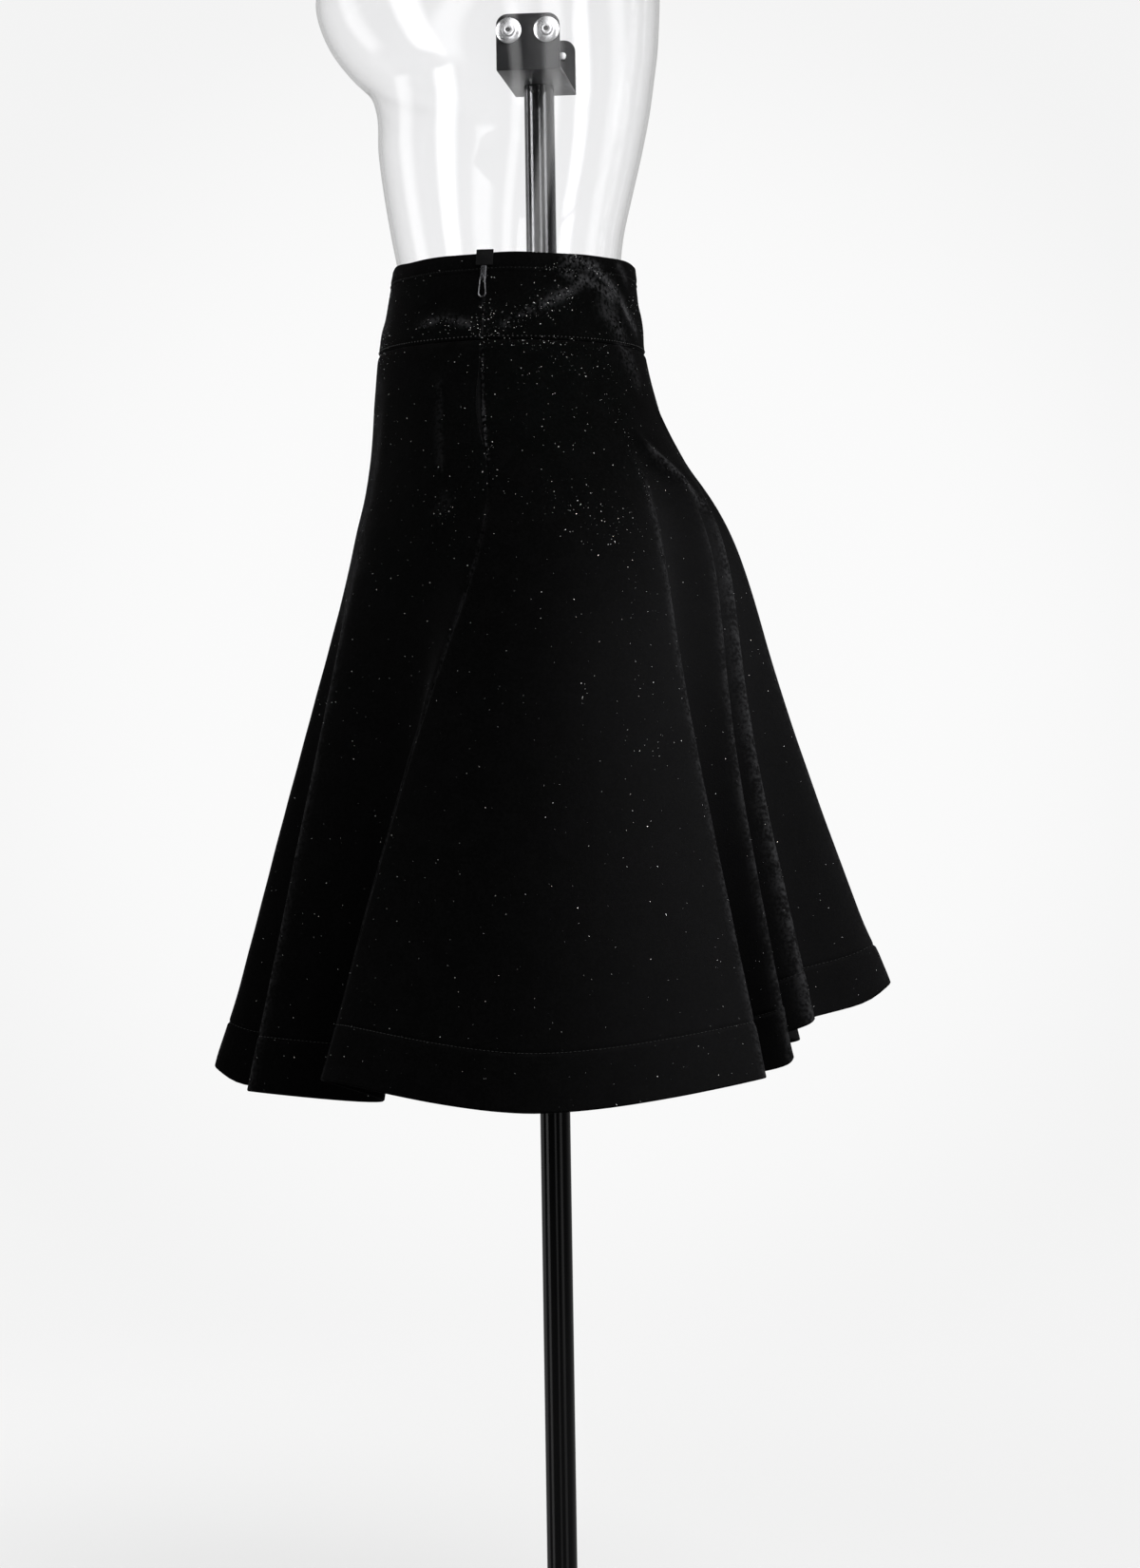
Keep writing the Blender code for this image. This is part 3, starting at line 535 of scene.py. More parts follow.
def painted(tree, name):
    """What an attribute of the mesh says at each point."""
    return add_node(tree, "ShaderNodeAttribute", attribute_name=name).outputs["Fac"]


def make_finish(name, mottle, dark, light, rough, grain=None, constants=None):
    """A finish whose colour and roughness follow the mottle, with a bump where it has a grain."""
    material, tree, shader = new_material(name)
    mask = place_group(tree, MOTTLE, *mottle)
    feed(tree, shader, {"Base Color": tint(tree, mask, dark, light), "Roughness": between(tree, mask, *rough)})
    if grain:
        feed(tree, shader, {"Normal": bump(tree, *grain)})
    feed(tree, shader, constants or {})
    return material


print("each material places", MOTTLE.name, "and some of them", GRAIN.name)

# %% [markdown]
# ## The velvet
# Velvet is a dense pile that swallows light when seen from above and shows a soft rim where it is seen along
# the surface. The shader's sheen gives that rim. Where the pile is brushed the other way it catches more light:
# attributes painted on the panels mix in that painted sheen, and painted light towards the back and in valleys.

# %% The velvet
PILE_SPECKLE = 0.022


def velvet_material():
    material, tree, shader = new_material("black_glitter_velvet")
    mottle = place_group(tree, MOTTLE, 60.0, 380.0, 0.6)
    speckled = mapped(tree, mottle, 0.42, 0.60, 0.0, 1.0)
    # Painted sheen: the colour is lighter where the brushed pile catches the light.
    brushed = arithmetic(tree, "ADD", painted(tree, "painted_sheen"), PILE_SPECKLE)
    patchy = arithmetic(tree, "MULTIPLY", speckled, brushed)
    # Painted light: lighter towards the back and in some valleys.
    whole = arithmetic(tree, "ADD", patchy, painted(tree, "painted_light"))
    feed(tree, shader, {
        "Base Color": tint(tree, whole, (0.0007, 0.0007, 0.0007), (0.030, 0.030, 0.0315)),
        "Roughness": between(tree, mottle, 0.80, 1.0),
        "Normal": bump(tree, 1500.0, 0.5, 0.0003, 0.7),
        "Specular IOR Level": 0.01,
        "Sheen Weight": 0.010,
        "Sheen Roughness": 0.18,
        "Sheen Tint": (0.92, 0.93, 1.0, 1.0),
    })
    return material


VELVET = velvet_material()
print("made", VELVET.name)


# %% Satin and thread
def thread_material(name, dark, light):
    return make_finish(name, (300.0, 2500.0), (dark,) * 3, (light,) * 3, (0.45, 0.65),
                       constants={"Specular IOR Level": 0.12})


SATIN = make_finish("black_satin", (80.0, 900.0), (0.0012, 0.0012, 0.0012), (0.004, 0.004, 0.0042),
                    (0.42, 0.58), grain=(2600.0, 4.0, 0.00015, 0.5), constants={"Specular IOR Level": 0.03})
THREAD = thread_material("black_thread", 0.006, 0.032)
# Painted highlight: the yoke seam's thread is lighter, for the glints on its stitches.
HIGHLIT_SEAM_THREAD = thread_material("black_thread_painted_highlight", 0.006, 0.075)
print("made", SATIN.name, THREAD.name, HIGHLIT_SEAM_THREAD.name)

# %% [markdown]
# ## Painted sheen and glitter, in tables of lines
# The velvet is painted lighter in a few arcs on the yoke and along the crests, a painted sheen where the brushed
# pile catches the light, and the glitter lies thickest near the zip. A noise would spread both evenly, so they
# are tables of lines on the cloth, by bearing and drop, and each line fades out to its sides. The masks are
# stored on the mesh as point attributes.

# %% Where the sheen is painted
Patch = namedtuple("Patch", "line width strength")
# Painted sheen: lines along which the velvet's colour is lighter, where the brushed pile catches the light.
PAINTED_SHEEN_PATCHES = (
    Patch(((124, 0.004), (131, 0.006), (138, 0.010), (145, 0.017), (153, 0.028), (160, 0.040), (167, 0.052)),
          0.0052, 0.80),
    Patch(((121, 0.014), (127, 0.018), (134, 0.020), (141, 0.025), (147, 0.032)), 0.0040, 0.60),
    Patch(((95, 0.057), (102, 0.049), (109, 0.043), (117, 0.036), (125, 0.029), (130, 0.022)), 0.0028, 0.50),
    Patch(((112, 0.040), (120, 0.032)), 0.0050, 0.20),
    Patch(((155, 0.004), (162, 0.014)), 0.0040, 0.30),
    Patch(((144, 0.040), (152, 0.060), (158, 0.090)), 0.009, 0.35),
    Patch(((55, 0.054), (68, 0.050), (80, 0.056)), 0.003, 0.45),
    Patch(((150, 0.150), (158, 0.172), (164, 0.190)), 0.005, 0.5),
    Patch(((24, 0.100), (28, 0.160), (24, 0.230)), 0.012, 0.20),
    Patch(((67, 0.100), (67, 0.130), (67, 0.168)), 0.0020, 0.26),
    Patch(((67, 0.192), (61, 0.215), (50, 0.238)), 0.0055, 0.16),
    Patch(((85.2, 0.030), (85.2, 0.066)), 0.0010, 0.3),
    Patch(((85.3, 0.072), (85.6, 0.110), (85.5, 0.130)), 0.0010, 0.5),
    Patch(((85.5, 0.125), (85.4, 0.145), (85.2, 0.160)), 0.0012, 1.0),
    Patch(((228, 0.016), (214, 0.024), (206, 0.040)), 0.012, 0.7),
    Patch(((262, 0.046), (246, 0.032)), 0.008, 0.4),
    Patch(((336, 0.040), (2, 0.034), (22, 0.046)), 0.012, 0.3),
)
print(len(PAINTED_SHEEN_PATCHES), "brushed marks")

# %% Where the glitter lies thickest
GLITTER_PATCHES = (
    Patch(((85, 0.012), (86, 0.020)), 0.005, 0.8),
    Patch(((85.6, 0.080), (85.8, 0.158)), 0.0025, 0.9),
    Patch(((86, 0.040), (87, 0.066)), 0.006, 1.5),
    Patch(((95, 0.056), (108, 0.044), (122, 0.033)), 0.008, 1.6),
    Patch(((108, 0.012), (116, 0.0115), (126, 0.012)), 0.0025, 2.4),
    Patch(((126, 0.006), (138, 0.012), (150, 0.024)), 0.006, 0.9),
    Patch(((58, 0.052), (74, 0.054), (83, 0.062)), 0.006, 0.6),
    Patch(((91, 0.069), (106, 0.069), (123, 0.070), (140, 0.072)), 0.0040, 1.3),
    Patch(((108, 0.084), (134, 0.092)), 0.016, 0.45),
    Patch(((82, 0.160), (86, 0.190)), 0.014, 0.10),
    Patch(((138, 0.110), (141, 0.150), (138, 0.200), (136, 0.250)), 0.006, 0.7),
    Patch(((106, 0.194), (116, 0.205), (128, 0.218)), 0.017, 0.55),
    Patch(((88, 0.178), (100, 0.182)), 0.012, 0.12),
    Patch(((120, 0.290), (123, 0.340), (118, 0.390)), 0.020, 0.16),
    Patch(((66, 0.198), (70, 0.206)), 0.007, 1.0),
    Patch(((262, 0.050), (244, 0.036)), 0.014, 1.1),
    Patch(((230, 0.014), (250, 0.014)), 0.008, 1.3),
    Patch(((276, 0.060), (262, 0.069), (240, 0.070)), 0.006, 1.2),
    Patch(((256, 0.200), (244, 0.212)), 0.018, 1.0),
    Patch(((340, 0.060), (4, 0.052), (30, 0.064)), 0.016, 0.6),
    Patch(((172, 0.030), (190, 0.040)), 0.016, 0.7),
)
print(len(GLITTER_PATCHES), "patches of glitter")


# %% Painted highlights on the crests
def patch_mask(points, patches):
    mask = np.zeros(points.shape[:-1])
    for patch in patches:
        gap, _ = line_distance(points, patch.line)
        mask += patch.strength * np.exp(-((gap / patch.width) ** 2))
    return mask


Rim = namedtuple("Rim", "fold width strength")
# Painted highlights: light rims along the crests, and painted light in some valleys at the back.
PAINTED_CREST_RIMS = (
    Rim("front_crest", 0.004, 0.25),
    Rim("front_side_crest", 0.004, 0.30),
    Rim("zip_seam_crest", 0.0016, 0.16),
    Rim("back_side_crest", 0.005, 0.38),
    Rim("thin_crest", 0.004, 0.35),
    Rim("round_crest", 0.007, 0.48),
    Rim("back_crest", 0.004, 0.30),
    Rim("far_round_crest", 0.006, 0.50),
    Rim("far_back_crest", 0.005, 0.50),
    Rim("far_seam_crest", 0.003, 0.35),
    Rim("far_front_crest", 0.004, 0.30),
)
PAINTED_LIGHT_VALLEYS = (
    Rim("back_side_valley", 0.030, 0.09),
    Rim("thin_valley", 0.022, 0.09),
    Rim("back_zip_valley", 0.030, 0.07),
    Rim("far_thin_valley", 0.026, 0.08),
)
print(len(PAINTED_CREST_RIMS), "light rims and", len(PAINTED_LIGHT_VALLEYS), "light valleys")


# %% Painted light on the folds and towards the back
RIM_RUN = 0.09
BACK_LIGHT = 0.10
BACK_BEARING = 80
BACK_SPREAD = 48
BACK_START = 0.14
BACK_RUN = 0.20


def paint_folds(grid, drops, rims):
    """A mask of painted light along crests or valleys, which grows in below the hips."""
    mask = np.zeros(grid.shape[:2])
    for rim in rims:
        gap = np.linalg.norm(grid - grid[:, [column_of(rim.fold)]], axis=2)
        start = FOLDS[FOLD_NAMES.index(rim.fold)].start_drop
        grown = smoothstep((drops - start) / RIM_RUN)[:, None]
        mask += rim.strength * np.exp(-((gap / rim.width) ** 2)) * grown
    return mask


def painted_back_light(points, drops):
    """Painted light: the cloth is painted lighter towards the back, below the hips."""
    side = np.degrees(np.abs(np.arctan2(points[..., 0], -points[..., 1])))
    below = smoothstep((drops - BACK_START) / BACK_RUN)[:, None]
    return BACK_LIGHT * smoothstep((side - BACK_BEARING) / BACK_SPREAD) * below


def add_attribute(obj, name, values):
    layer = obj.data.attributes.new(name, "FLOAT", "POINT")
    layer.data.foreach_set("value", np.asarray(values, dtype=np.float32))


# Painted light: how much lighter the back of the hem is painted.
back_of_hem = cloth_ring(SKIRT_LENGTH)[None, [column_of("back_crest")]]
back_painted_light = painted_back_light(back_of_hem, np.array([SKIRT_LENGTH]))
print("at the back of the hem the pile is lighter by", back_painted_light.max().round(3))


# %% The zip's slit, turned edges and side edges
def lens(drop):
    """How far the front panel's edge is drawn back at a level, where the zip shows."""
    share = (drop - ZIP_LENS_START) / (ZIP_LENGTH - ZIP_LENS_START)
    if not 0.0 < share < 1.0:
        return 0.0
    return ZIP_LENS_WIDTH * math.sin(math.pi * share) ** 2


def round_off(distance, radius):
    """How much of its half thickness a turned edge has kept, at a distance from its end."""
    share = np.clip(distance / radius, 0.0, 1.0)
    return np.sqrt(1.0 - (1.0 - share) ** 2)


def edge_distance(panel, column):
    """How far each point of a panel is from one of its side edges."""
    return np.linalg.norm(panel - panel[:, [column]], axis=2)


def ease_edges(panel, drops, zip_first):
    """Draws the side edges back from their seam lines, and eases the cloth beside them."""
    moved = panel.copy()
    for column, step, is_zip in ((0, 1, zip_first), (-1, -2, not zip_first)):
        towards = panel[:, step] - panel[:, column]
        towards /= np.linalg.norm(towards, axis=1)[:, None]
        gap = edge_distance(panel, column)
        back_by = np.full(len(drops), SEAM_GAP / 2)
        if is_zip and not zip_first:
            back_by += np.array([lens(drop) for drop in drops])
        ease = 1.0 - smoothstep(gap / SEAM_EASE)
        moved += towards[:, None] * (ease * back_by[:, None])[:, :, None]
    return moved


widest = (ZIP_LENS_START + ZIP_LENGTH) / 2
print("beside the zip the front panel's edge is drawn back by at most", lens(widest), "m")


# %% Build a pair of panels from one closed grid
SLOW_SWELL = 0.0004
SLOW_SWELL_SIZE = 0.055
SIDE_ROLL = 0.0009
GLITTER_AT_TOP = 0.09
GLITTER_LOST = 0.03


def make_panels(names, grid, drops, zip_column, far_column, relief, turned, rims=0.0, valleys=0.0):
    """The front and back pieces of one band of the garment, with their painted sheen, painted light and glitter
    attributes.
    """
    normal = outward(grid)
    lift = relief + crease_height(grid) + SLOW_SWELL * waviness(grid, SLOW_SWELL_SIZE, 5)
    raised = grid + normal * lift[:, :, None]
    # The masks of painted sheen and painted light for the velvet's colour.
    whole_painted_sheen = patch_mask(grid, PAINTED_SHEEN_PATCHES) + rims
    whole_painted_light = painted_back_light(grid, drops) + valleys
    whole_glitter = patch_mask(grid, GLITTER_PATCHES)
    pieces = []
    cuts = ((far_column, zip_column, False), (zip_column, far_column, True))
    for name, (first, last, zip_first) in zip(names, cuts):
        panel = cut_grid(raised, first, last)
        facing = cut_grid(normal, first, last)
        seam = np.minimum(edge_distance(panel, 0), edge_distance(panel, -1))
        dip = SEAM_DIP * np.exp(-((seam / DIP_WIDTH) ** 2))
        eased = ease_edges(panel, drops, zip_first)
        thick, kept = turned
        middle = eased - facing * (dip + CLOTH / 2)[:, :, None]
        half = (thick * kept / 2)[:, None, None] * facing
        side = round_off(seam + 0.00025, SIDE_ROLL)[:, :, None]
        outer = middle + half * side
        inner = middle - half * side
        rows, columns = outer.shape[:2]
        points = np.concatenate([outer.reshape(-1, 3), inner.reshape(-1, 3)])
        obj = add_mesh(name, points, wall_faces(rows, columns), VELVET)
        painted_sheen, painted_light, glitter = (
            cut_grid(whole, first, last).ravel() for whole in (whole_painted_sheen, whole_painted_light, whole_glitter)
        )
        spread = np.repeat(GLITTER_AT_TOP - GLITTER_LOST * smoothstep(drops / 0.4), columns)
        for label, values in (("painted_sheen", np.clip(painted_sheen, 0, 1)), ("painted_light", painted_light), ("glitter", glitter + spread)):
            add_attribute(obj, label, np.concatenate([values, np.zeros(len(values))]))
        pieces.append(obj)
        print(name, len(obj.data.polygons), "faces")
    return pieces, raised + normal * (BAND_RISE / 2), normal


print("each panel is a closed wall,", CLOTH, "m thick")


# %% The skirt's two panels
CORNER_WIDTH = 0.020
CORNER_LIFT = 0.011
CORNER_START = 0.58
CORNER_RUN = 0.08
HEM_STITCH_WIDTH = 0.0016
HEM_PUCKER = 0.0006
HEM_PUCKER_SIZE = 0.022
HEM_ROLL = 0.0016
skirt_drops = rows_between(
    (YOKE_DEPTH + SEAM_GAP / 2, YOKE_DEPTH + 0.004, 0.0008), (YOKE_DEPTH + 0.004, 0.25, 0.0036),
    (0.25, HEM_DROP - 0.006, 0.0062), (HEM_DROP - 0.006, HEM_DROP + 0.004, 0.0010),
    (HEM_DROP + 0.004, SKIRT_LENGTH - 0.003, 0.0055), (SKIRT_LENGTH - 0.003, SKIRT_LENGTH, 0.0005),
)
skirt_grid = np.array([cloth_ring(drop) for drop in skirt_drops])
for crest in ("front_crest", "back_crest"):
    tip = skirt_grid[-1, column_of(crest)]
    near_tip = np.exp(-((np.linalg.norm(skirt_grid[-1] - tip, axis=1) / CORNER_WIDTH) ** 2))
    low = smoothstep((skirt_drops - CORNER_START) / CORNER_RUN)[:, None]
    skirt_grid[:, :, 2] += CORNER_LIFT * near_tip * low
top_roll = np.exp(-(((skirt_drops - YOKE_DEPTH) / DIP_WIDTH) ** 2))
hem_stitch = np.exp(-(((skirt_drops - HEM_DROP) / HEM_STITCH_WIDTH) ** 2))
hem_pucker = smoothstep((skirt_drops - HEM_DROP + 0.004) / 0.008)[:, None]
hem_pucker = hem_pucker * waviness(skirt_grid, HEM_PUCKER_SIZE, 9)
skirt_relief = (-SEAM_DIP * top_roll - STITCH_DIP * hem_stitch)[:, None] + HEM_PUCKER * hem_pucker
skirt_thick = CLOTH + (TURNED_EDGE - CLOTH) * smoothstep((skirt_drops - HEM_DROP) / 0.002)
skirt_kept = round_off(SKIRT_LENGTH - skirt_drops + 0.0001, HEM_ROLL)
skirt_kept *= round_off(skirt_drops - YOKE_DEPTH + 0.0001, SIDE_ROLL)
(skirt_front, skirt_back), skirt_face, skirt_normal = make_panels(
    ("velvet_skirt_front", "velvet_skirt_back"), skirt_grid, skirt_drops,
    column_of(ZIP_SEAM), column_of(FAR_SEAM), skirt_relief, (skirt_thick, skirt_kept),
    paint_folds(skirt_grid, skirt_drops, PAINTED_CREST_RIMS), paint_folds(skirt_grid, skirt_drops, PAINTED_LIGHT_VALLEYS),
)
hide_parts("skirt_front")
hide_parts("skirt_back")
print("the skirt's grid is", skirt_grid.shape[0], "rows by", skirt_grid.shape[1], "columns")

# %% The yoke's two panels
YOKE_COLUMNS = 240
TOP_WAVE = 0.0022
TOP_WAVE_SIZE = 0.045
TOP_WAVE_DEPTH = 0.03
TOP_STITCH_ABOVE = 0.0012
TOP_STITCH_WIDTH = 0.0014
BAND_PUCKER = 0.0004
BAND_PUCKER_SIZE = 0.020
TOP_ROLL = 0.0015
yoke_bearings = np.sort(np.concatenate([
    np.arange(YOKE_COLUMNS) * 360.0 / YOKE_COLUMNS,
    *[[edge + side * step for side in (-1, 1) for step in (0.25, 0.6, 1.0)]
      for edge in (0.0, FAR_BEARING - ZIP_BEARING)],
    [FAR_BEARING - ZIP_BEARING],
]) % 360.0)
yoke_far_column = int(np.argmin(np.abs(yoke_bearings - (FAR_BEARING - ZIP_BEARING))))
yoke_drops = rows_between(
    (0.0, 0.002, 0.0004), (0.002, TOP_BAND_DEPTH - 0.002, 0.002), (TOP_BAND_DEPTH - 0.002, 0.018, 0.0007),
    (0.018, YOKE_DEPTH - 0.004, 0.002), (YOKE_DEPTH - 0.004, YOKE_DEPTH - SEAM_GAP / 2, 0.0008),
)
yoke_grid = np.array([
    [hip_point(ZIP_BEARING + bearing, drop) for bearing in yoke_bearings] for drop in yoke_drops
])
top_fade = (1.0 - smoothstep(yoke_drops / TOP_WAVE_DEPTH))[:, None]
yoke_grid[:, :, 2] += TOP_WAVE * waviness(yoke_grid[0], TOP_WAVE_SIZE, 21) * top_fade
band = 1.0 - smoothstep((yoke_drops - TOP_BAND_DEPTH) / 0.0015)
top_stitch = np.exp(-(((yoke_drops - TOP_BAND_DEPTH + TOP_STITCH_ABOVE) / TOP_STITCH_WIDTH) ** 2))
foot_roll = np.exp(-(((yoke_drops - YOKE_DEPTH) / DIP_WIDTH) ** 2))
band_pucker = band[:, None] * waviness(yoke_grid, BAND_PUCKER_SIZE, 12)
yoke_relief = (BAND_RISE * band - STITCH_DIP * top_stitch - SEAM_DIP * foot_roll)[:, None]
yoke_relief = yoke_relief + BAND_PUCKER * band_pucker
yoke_thick = CLOTH + (TURNED_EDGE - CLOTH) * band
yoke_kept = round_off(yoke_drops + 0.0001, TOP_ROLL)
yoke_kept *= round_off(YOKE_DEPTH - yoke_drops + 0.0001, SIDE_ROLL)
(yoke_front, yoke_back), yoke_face, yoke_normal = make_panels(
    ("velvet_yoke_front", "velvet_yoke_back"), yoke_grid, yoke_drops,
    0, yoke_far_column, yoke_relief, (yoke_thick, yoke_kept),
)
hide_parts("yoke_front")
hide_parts("yoke_back")
print("the yoke's grid is", yoke_grid.shape[0], "rows by", yoke_grid.shape[1], "columns")

# %% [markdown]
# ## The clear torso form
# The form is a limbless torso, moulded in clear plastic. Its sections are deeper at the back than at the front,
# so they are drawn as half ellipses, and the wall goes inwards. Real thickness matters here: light bends in
# both faces, which draws the grey lines at its sides.

# %% The form's sections
FORM_WALL = 0.003
FORM_COLUMNS = 128
FORM_ROWS = 150
NECK_RISE = 0.005
NECK_SHARES = (0.15, 0.35, 0.55, 0.72, 0.86, 0.95)
FormLevel = namedtuple("FormLevel", "height front back side centre")
FORM_LEVELS = (
    FormLevel(1.5850, -0.0560, 0.0300, 0.0480, -0.0120),
    FormLevel(1.5400, -0.0580, 0.0350, 0.0520, -0.0100),
    FormLevel(1.5100, -0.0680, 0.0470, 0.0820, -0.0060),
    FormLevel(1.4850, -0.0810, 0.0610, 0.1380, -0.0030),
    FormLevel(1.4450, -0.1000, 0.0790, 0.1690, -0.0020),
    FormLevel(1.4000, -0.1260, 0.0920, 0.1660, -0.0060),
    FormLevel(1.3550, -0.1570, 0.0970, 0.1560, -0.0120),
    FormLevel(1.3170, -0.1765, 0.0965, 0.1480, -0.0160),
    FormLevel(1.2950, -0.1725, 0.0955, 0.1440, -0.0160),
    FormLevel(1.2740, -0.1620, 0.0940, 0.1400, -0.0140),
    FormLevel(1.2560, -0.1475, 0.0915, 0.1370, -0.0120),
    FormLevel(1.2420, -0.1335, 0.0895, 0.1340, -0.0110),
    FormLevel(1.2320, -0.1300, 0.0880, 0.1320, -0.0110),
    FormLevel(1.1950, -0.1280, 0.0805, 0.1245, -0.0130),
    FormLevel(1.1600, -0.1238, 0.0720, 0.1175, -0.0180),
    FormLevel(1.1270, -0.1185, 0.0645, 0.1135, -0.0210),
)
HipLevel = namedtuple("HipLevel", "drop front back side")
FORM_HIPS = (
    HipLevel(0.000, 0.0026, 0.0110, 0.0046),
    HipLevel(0.068, 0.0026, 0.0070, 0.0046),
    HipLevel(0.100, 0.0030, 0.0042, 0.0048),
    HipLevel(0.130, 0.0050, 0.0040, 0.0052),
    HipLevel(0.155, 0.0100, 0.0080, 0.0085),
    HipLevel(0.178, 0.0180, 0.0160, 0.0140),
    HipLevel(0.210, 0.0300, 0.0300, 0.0240),
)
print(len(FORM_LEVELS), "levels above the waist and", len(FORM_HIPS), "below it")


# %% Rings of the form
def all_form_levels():
    """The form's own levels, then those inside the cloth, by height."""
    levels = list(FORM_LEVELS)
    for level in FORM_HIPS:
        front, back, side, centre = (
            read_level(HIP_LEVELS, "drop", level.drop, field) for field in ("front", "back", "side", "centre")
        )
        levels.append(FormLevel(TOP_HEIGHT - level.drop, front + level.front, back - level.back,
                                side - level.side, centre))
    return tuple(levels)


FORM = all_form_levels()
FORM_ANGLES = np.linspace(0.0, 2 * math.pi, FORM_COLUMNS, endpoint=False)


def form_ring(front, back, side, centre, height):
    depth = np.where(np.cos(FORM_ANGLES) > 0, centre - front, back - centre)
    return np.stack([side * np.sin(FORM_ANGLES), centre - depth * np.cos(FORM_ANGLES),
                     np.full(FORM_COLUMNS, height)], axis=1)


def form_rings():
    neck = FORM[0]
    rings = []
    for share in NECK_SHARES:
        rise = NECK_RISE * math.sqrt(1.0 - share**2)
        rings.append(form_ring(neck.centre + (neck.front - neck.centre) * share,
                               neck.centre + (neck.back - neck.centre) * share,
                               neck.side * share, neck.centre, neck.height + rise))
    for height in np.linspace(FORM[0].height, FORM[-1].height, FORM_ROWS):
        sizes = [read_level(FORM, "height", height, field) for field in ("front", "back", "side", "centre")]
        rings.append(form_ring(*sizes, height))
    return np.array(rings)


print("the form is", round(FORM[0].height - FORM[-1].height, 3), "m tall")


# %% [markdown]
# ## Clear plastic, black metal and steel
# The plastic is a transmitting shader with very little roughness. The stand is powder coated, which is a soft
# orange peel bump under a satin black. The washers and the screws are plated steel, a little uneven.

# %% The clear plastic and the pole
UPPER_TUBE_START = 0.80


def plastic_material():
    material, tree, shader = new_material("clear_plastic")
    mottle = place_group(tree, MOTTLE, 9.0, 30.0)
    feed(tree, shader, {
        "Base Color": (0.985, 0.985, 0.99, 1.0), "Transmission Weight": 1.0, "IOR": 1.32,
        "Roughness": between(tree, mottle, 0.0, 0.03),
    })
    return material


def pole_material():
    """Satin black at its foot, and dark bright nickel where the upper tube slides out of it."""
    material, tree, shader = new_material("pole_finish")
    split = add_node(tree, "ShaderNodeSeparateXYZ", {"Vector": object_place(tree)})
    upper = arithmetic(tree, "GREATER_THAN", split.outputs["Z"], UPPER_TUBE_START)
    mottle = place_group(tree, MOTTLE, 18.0, 160.0)
    feed(tree, shader, {
        "Base Color": tint(tree, upper, (0.004, 0.004, 0.0042), (0.095, 0.095, 0.098)),
        "Metallic": upper,
        "Roughness": between(tree, mottle, 0.08, 0.14),
        "Specular IOR Level": 0.06,
    })
    return material


PLASTIC = plastic_material()
POLE_FINISH = pole_material()
print("made", PLASTIC.name, POLE_FINISH.name)

# %% Powder coat, steel and zip metal
BLACK_METAL = make_finish("black_powder_coat", (18.0, 160.0), (0.006, 0.006, 0.0065), (0.012, 0.012, 0.013),
                          (0.28, 0.38), grain=(420.0, 1.0, 0.0002, 0.10),
                          constants={"Specular IOR Level": 0.35})
STEEL = make_finish("plated_steel", (90.0, 700.0), (0.55, 0.55, 0.56), (0.82, 0.82, 0.83), (0.22, 0.38),
                    constants={"Metallic": 1.0})
ZIP_METAL = make_finish("dark_zip_metal", (200.0, 1500.0), (0.05, 0.05, 0.053), (0.18, 0.18, 0.19),
                        (0.18, 0.34), constants={"Metallic": 1.0})
print("made", BLACK_METAL.name, STEEL.name, ZIP_METAL.name)


# %% Loft the form
def closed_grid_faces(rows, columns):
    at = np.arange(rows * columns).reshape(rows, columns)
    right = np.roll(at, -1, axis=1)
    return np.stack([at[:-1], at[1:], right[1:], right[:-1]], axis=-1).reshape(-1, 4)


def make_form():
    outer = form_rings()
    rows, columns = outer.shape[:2]
    normal = outward(outer)
    normal[0] = (0.0, 0.0, 1.0)
    inner = outer - normal * FORM_WALL
    faces = closed_grid_faces(rows, columns)
    behind = rows * columns
    foot = (rows - 1) * columns + np.arange(columns)
    rim = np.stack([foot, behind + foot, behind + np.roll(foot, -1), np.roll(foot, -1)], axis=-1)
    faces = [list(f) for f in np.concatenate([faces, behind + faces[:, ::-1], rim])]
    faces.append(list(range(columns)))
    faces.append([behind + i for i in range(columns - 1, -1, -1)])
    points = np.concatenate([outer.reshape(-1, 3), inner.reshape(-1, 3)])
    shell = add_mesh("clear_torso_form", points, faces, PLASTIC)
    shell.visible_shadow = False
    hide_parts("form_shell")
    return shell


form_shell = make_form()
print("the form has", len(form_shell.data.polygons), "faces")

# %% [markdown]
# ## The stand
# The pole, the base and the washers are round, so each is a profile turned about an axis. The bracket is a
# sheet folded into a U, with a bevel that catches the light along its cut edges.

# %% Turned pieces
POLE_RADIUS = 0.012
POLE_TOP = 1.2488
BASE_RADIUS = 0.160
BASE_THICKNESS = 0.008
SOCKET_RADIUS = 0.020
SOCKET_HEIGHT = 0.036
SOCKET_FLOOR = 0.003
print("the pole is", 2 * POLE_RADIUS, "m across and the base", 2 * BASE_RADIUS, "m")


def rounded_profile(profile, radius, steps=4):
    """The same profile of (radius, height) points, with its corners off the axis rounded."""
    result = []
    for i, corner in enumerate(profile):
        here = np.array(corner)
        before = np.array(profile[i - 1]) if i else None
        after = np.array(profile[i + 1]) if i + 1 < len(profile) else None
        if before is None or after is None or corner[0] == 0.0:
            result.append(here)
            continue
        to_before, to_after = before - here, after - here
        reach = min(radius, np.linalg.norm(to_before) * 0.45, np.linalg.norm(to_after) * 0.45)
        start = here + to_before / np.linalg.norm(to_before) * reach
        end = here + to_after / np.linalg.norm(to_after) * reach
        for t in np.linspace(0.0, 1.0, steps + 1):
            result.append(start * (1 - t) ** 2 + here * 2 * t * (1 - t) + end * t**2)
    return result


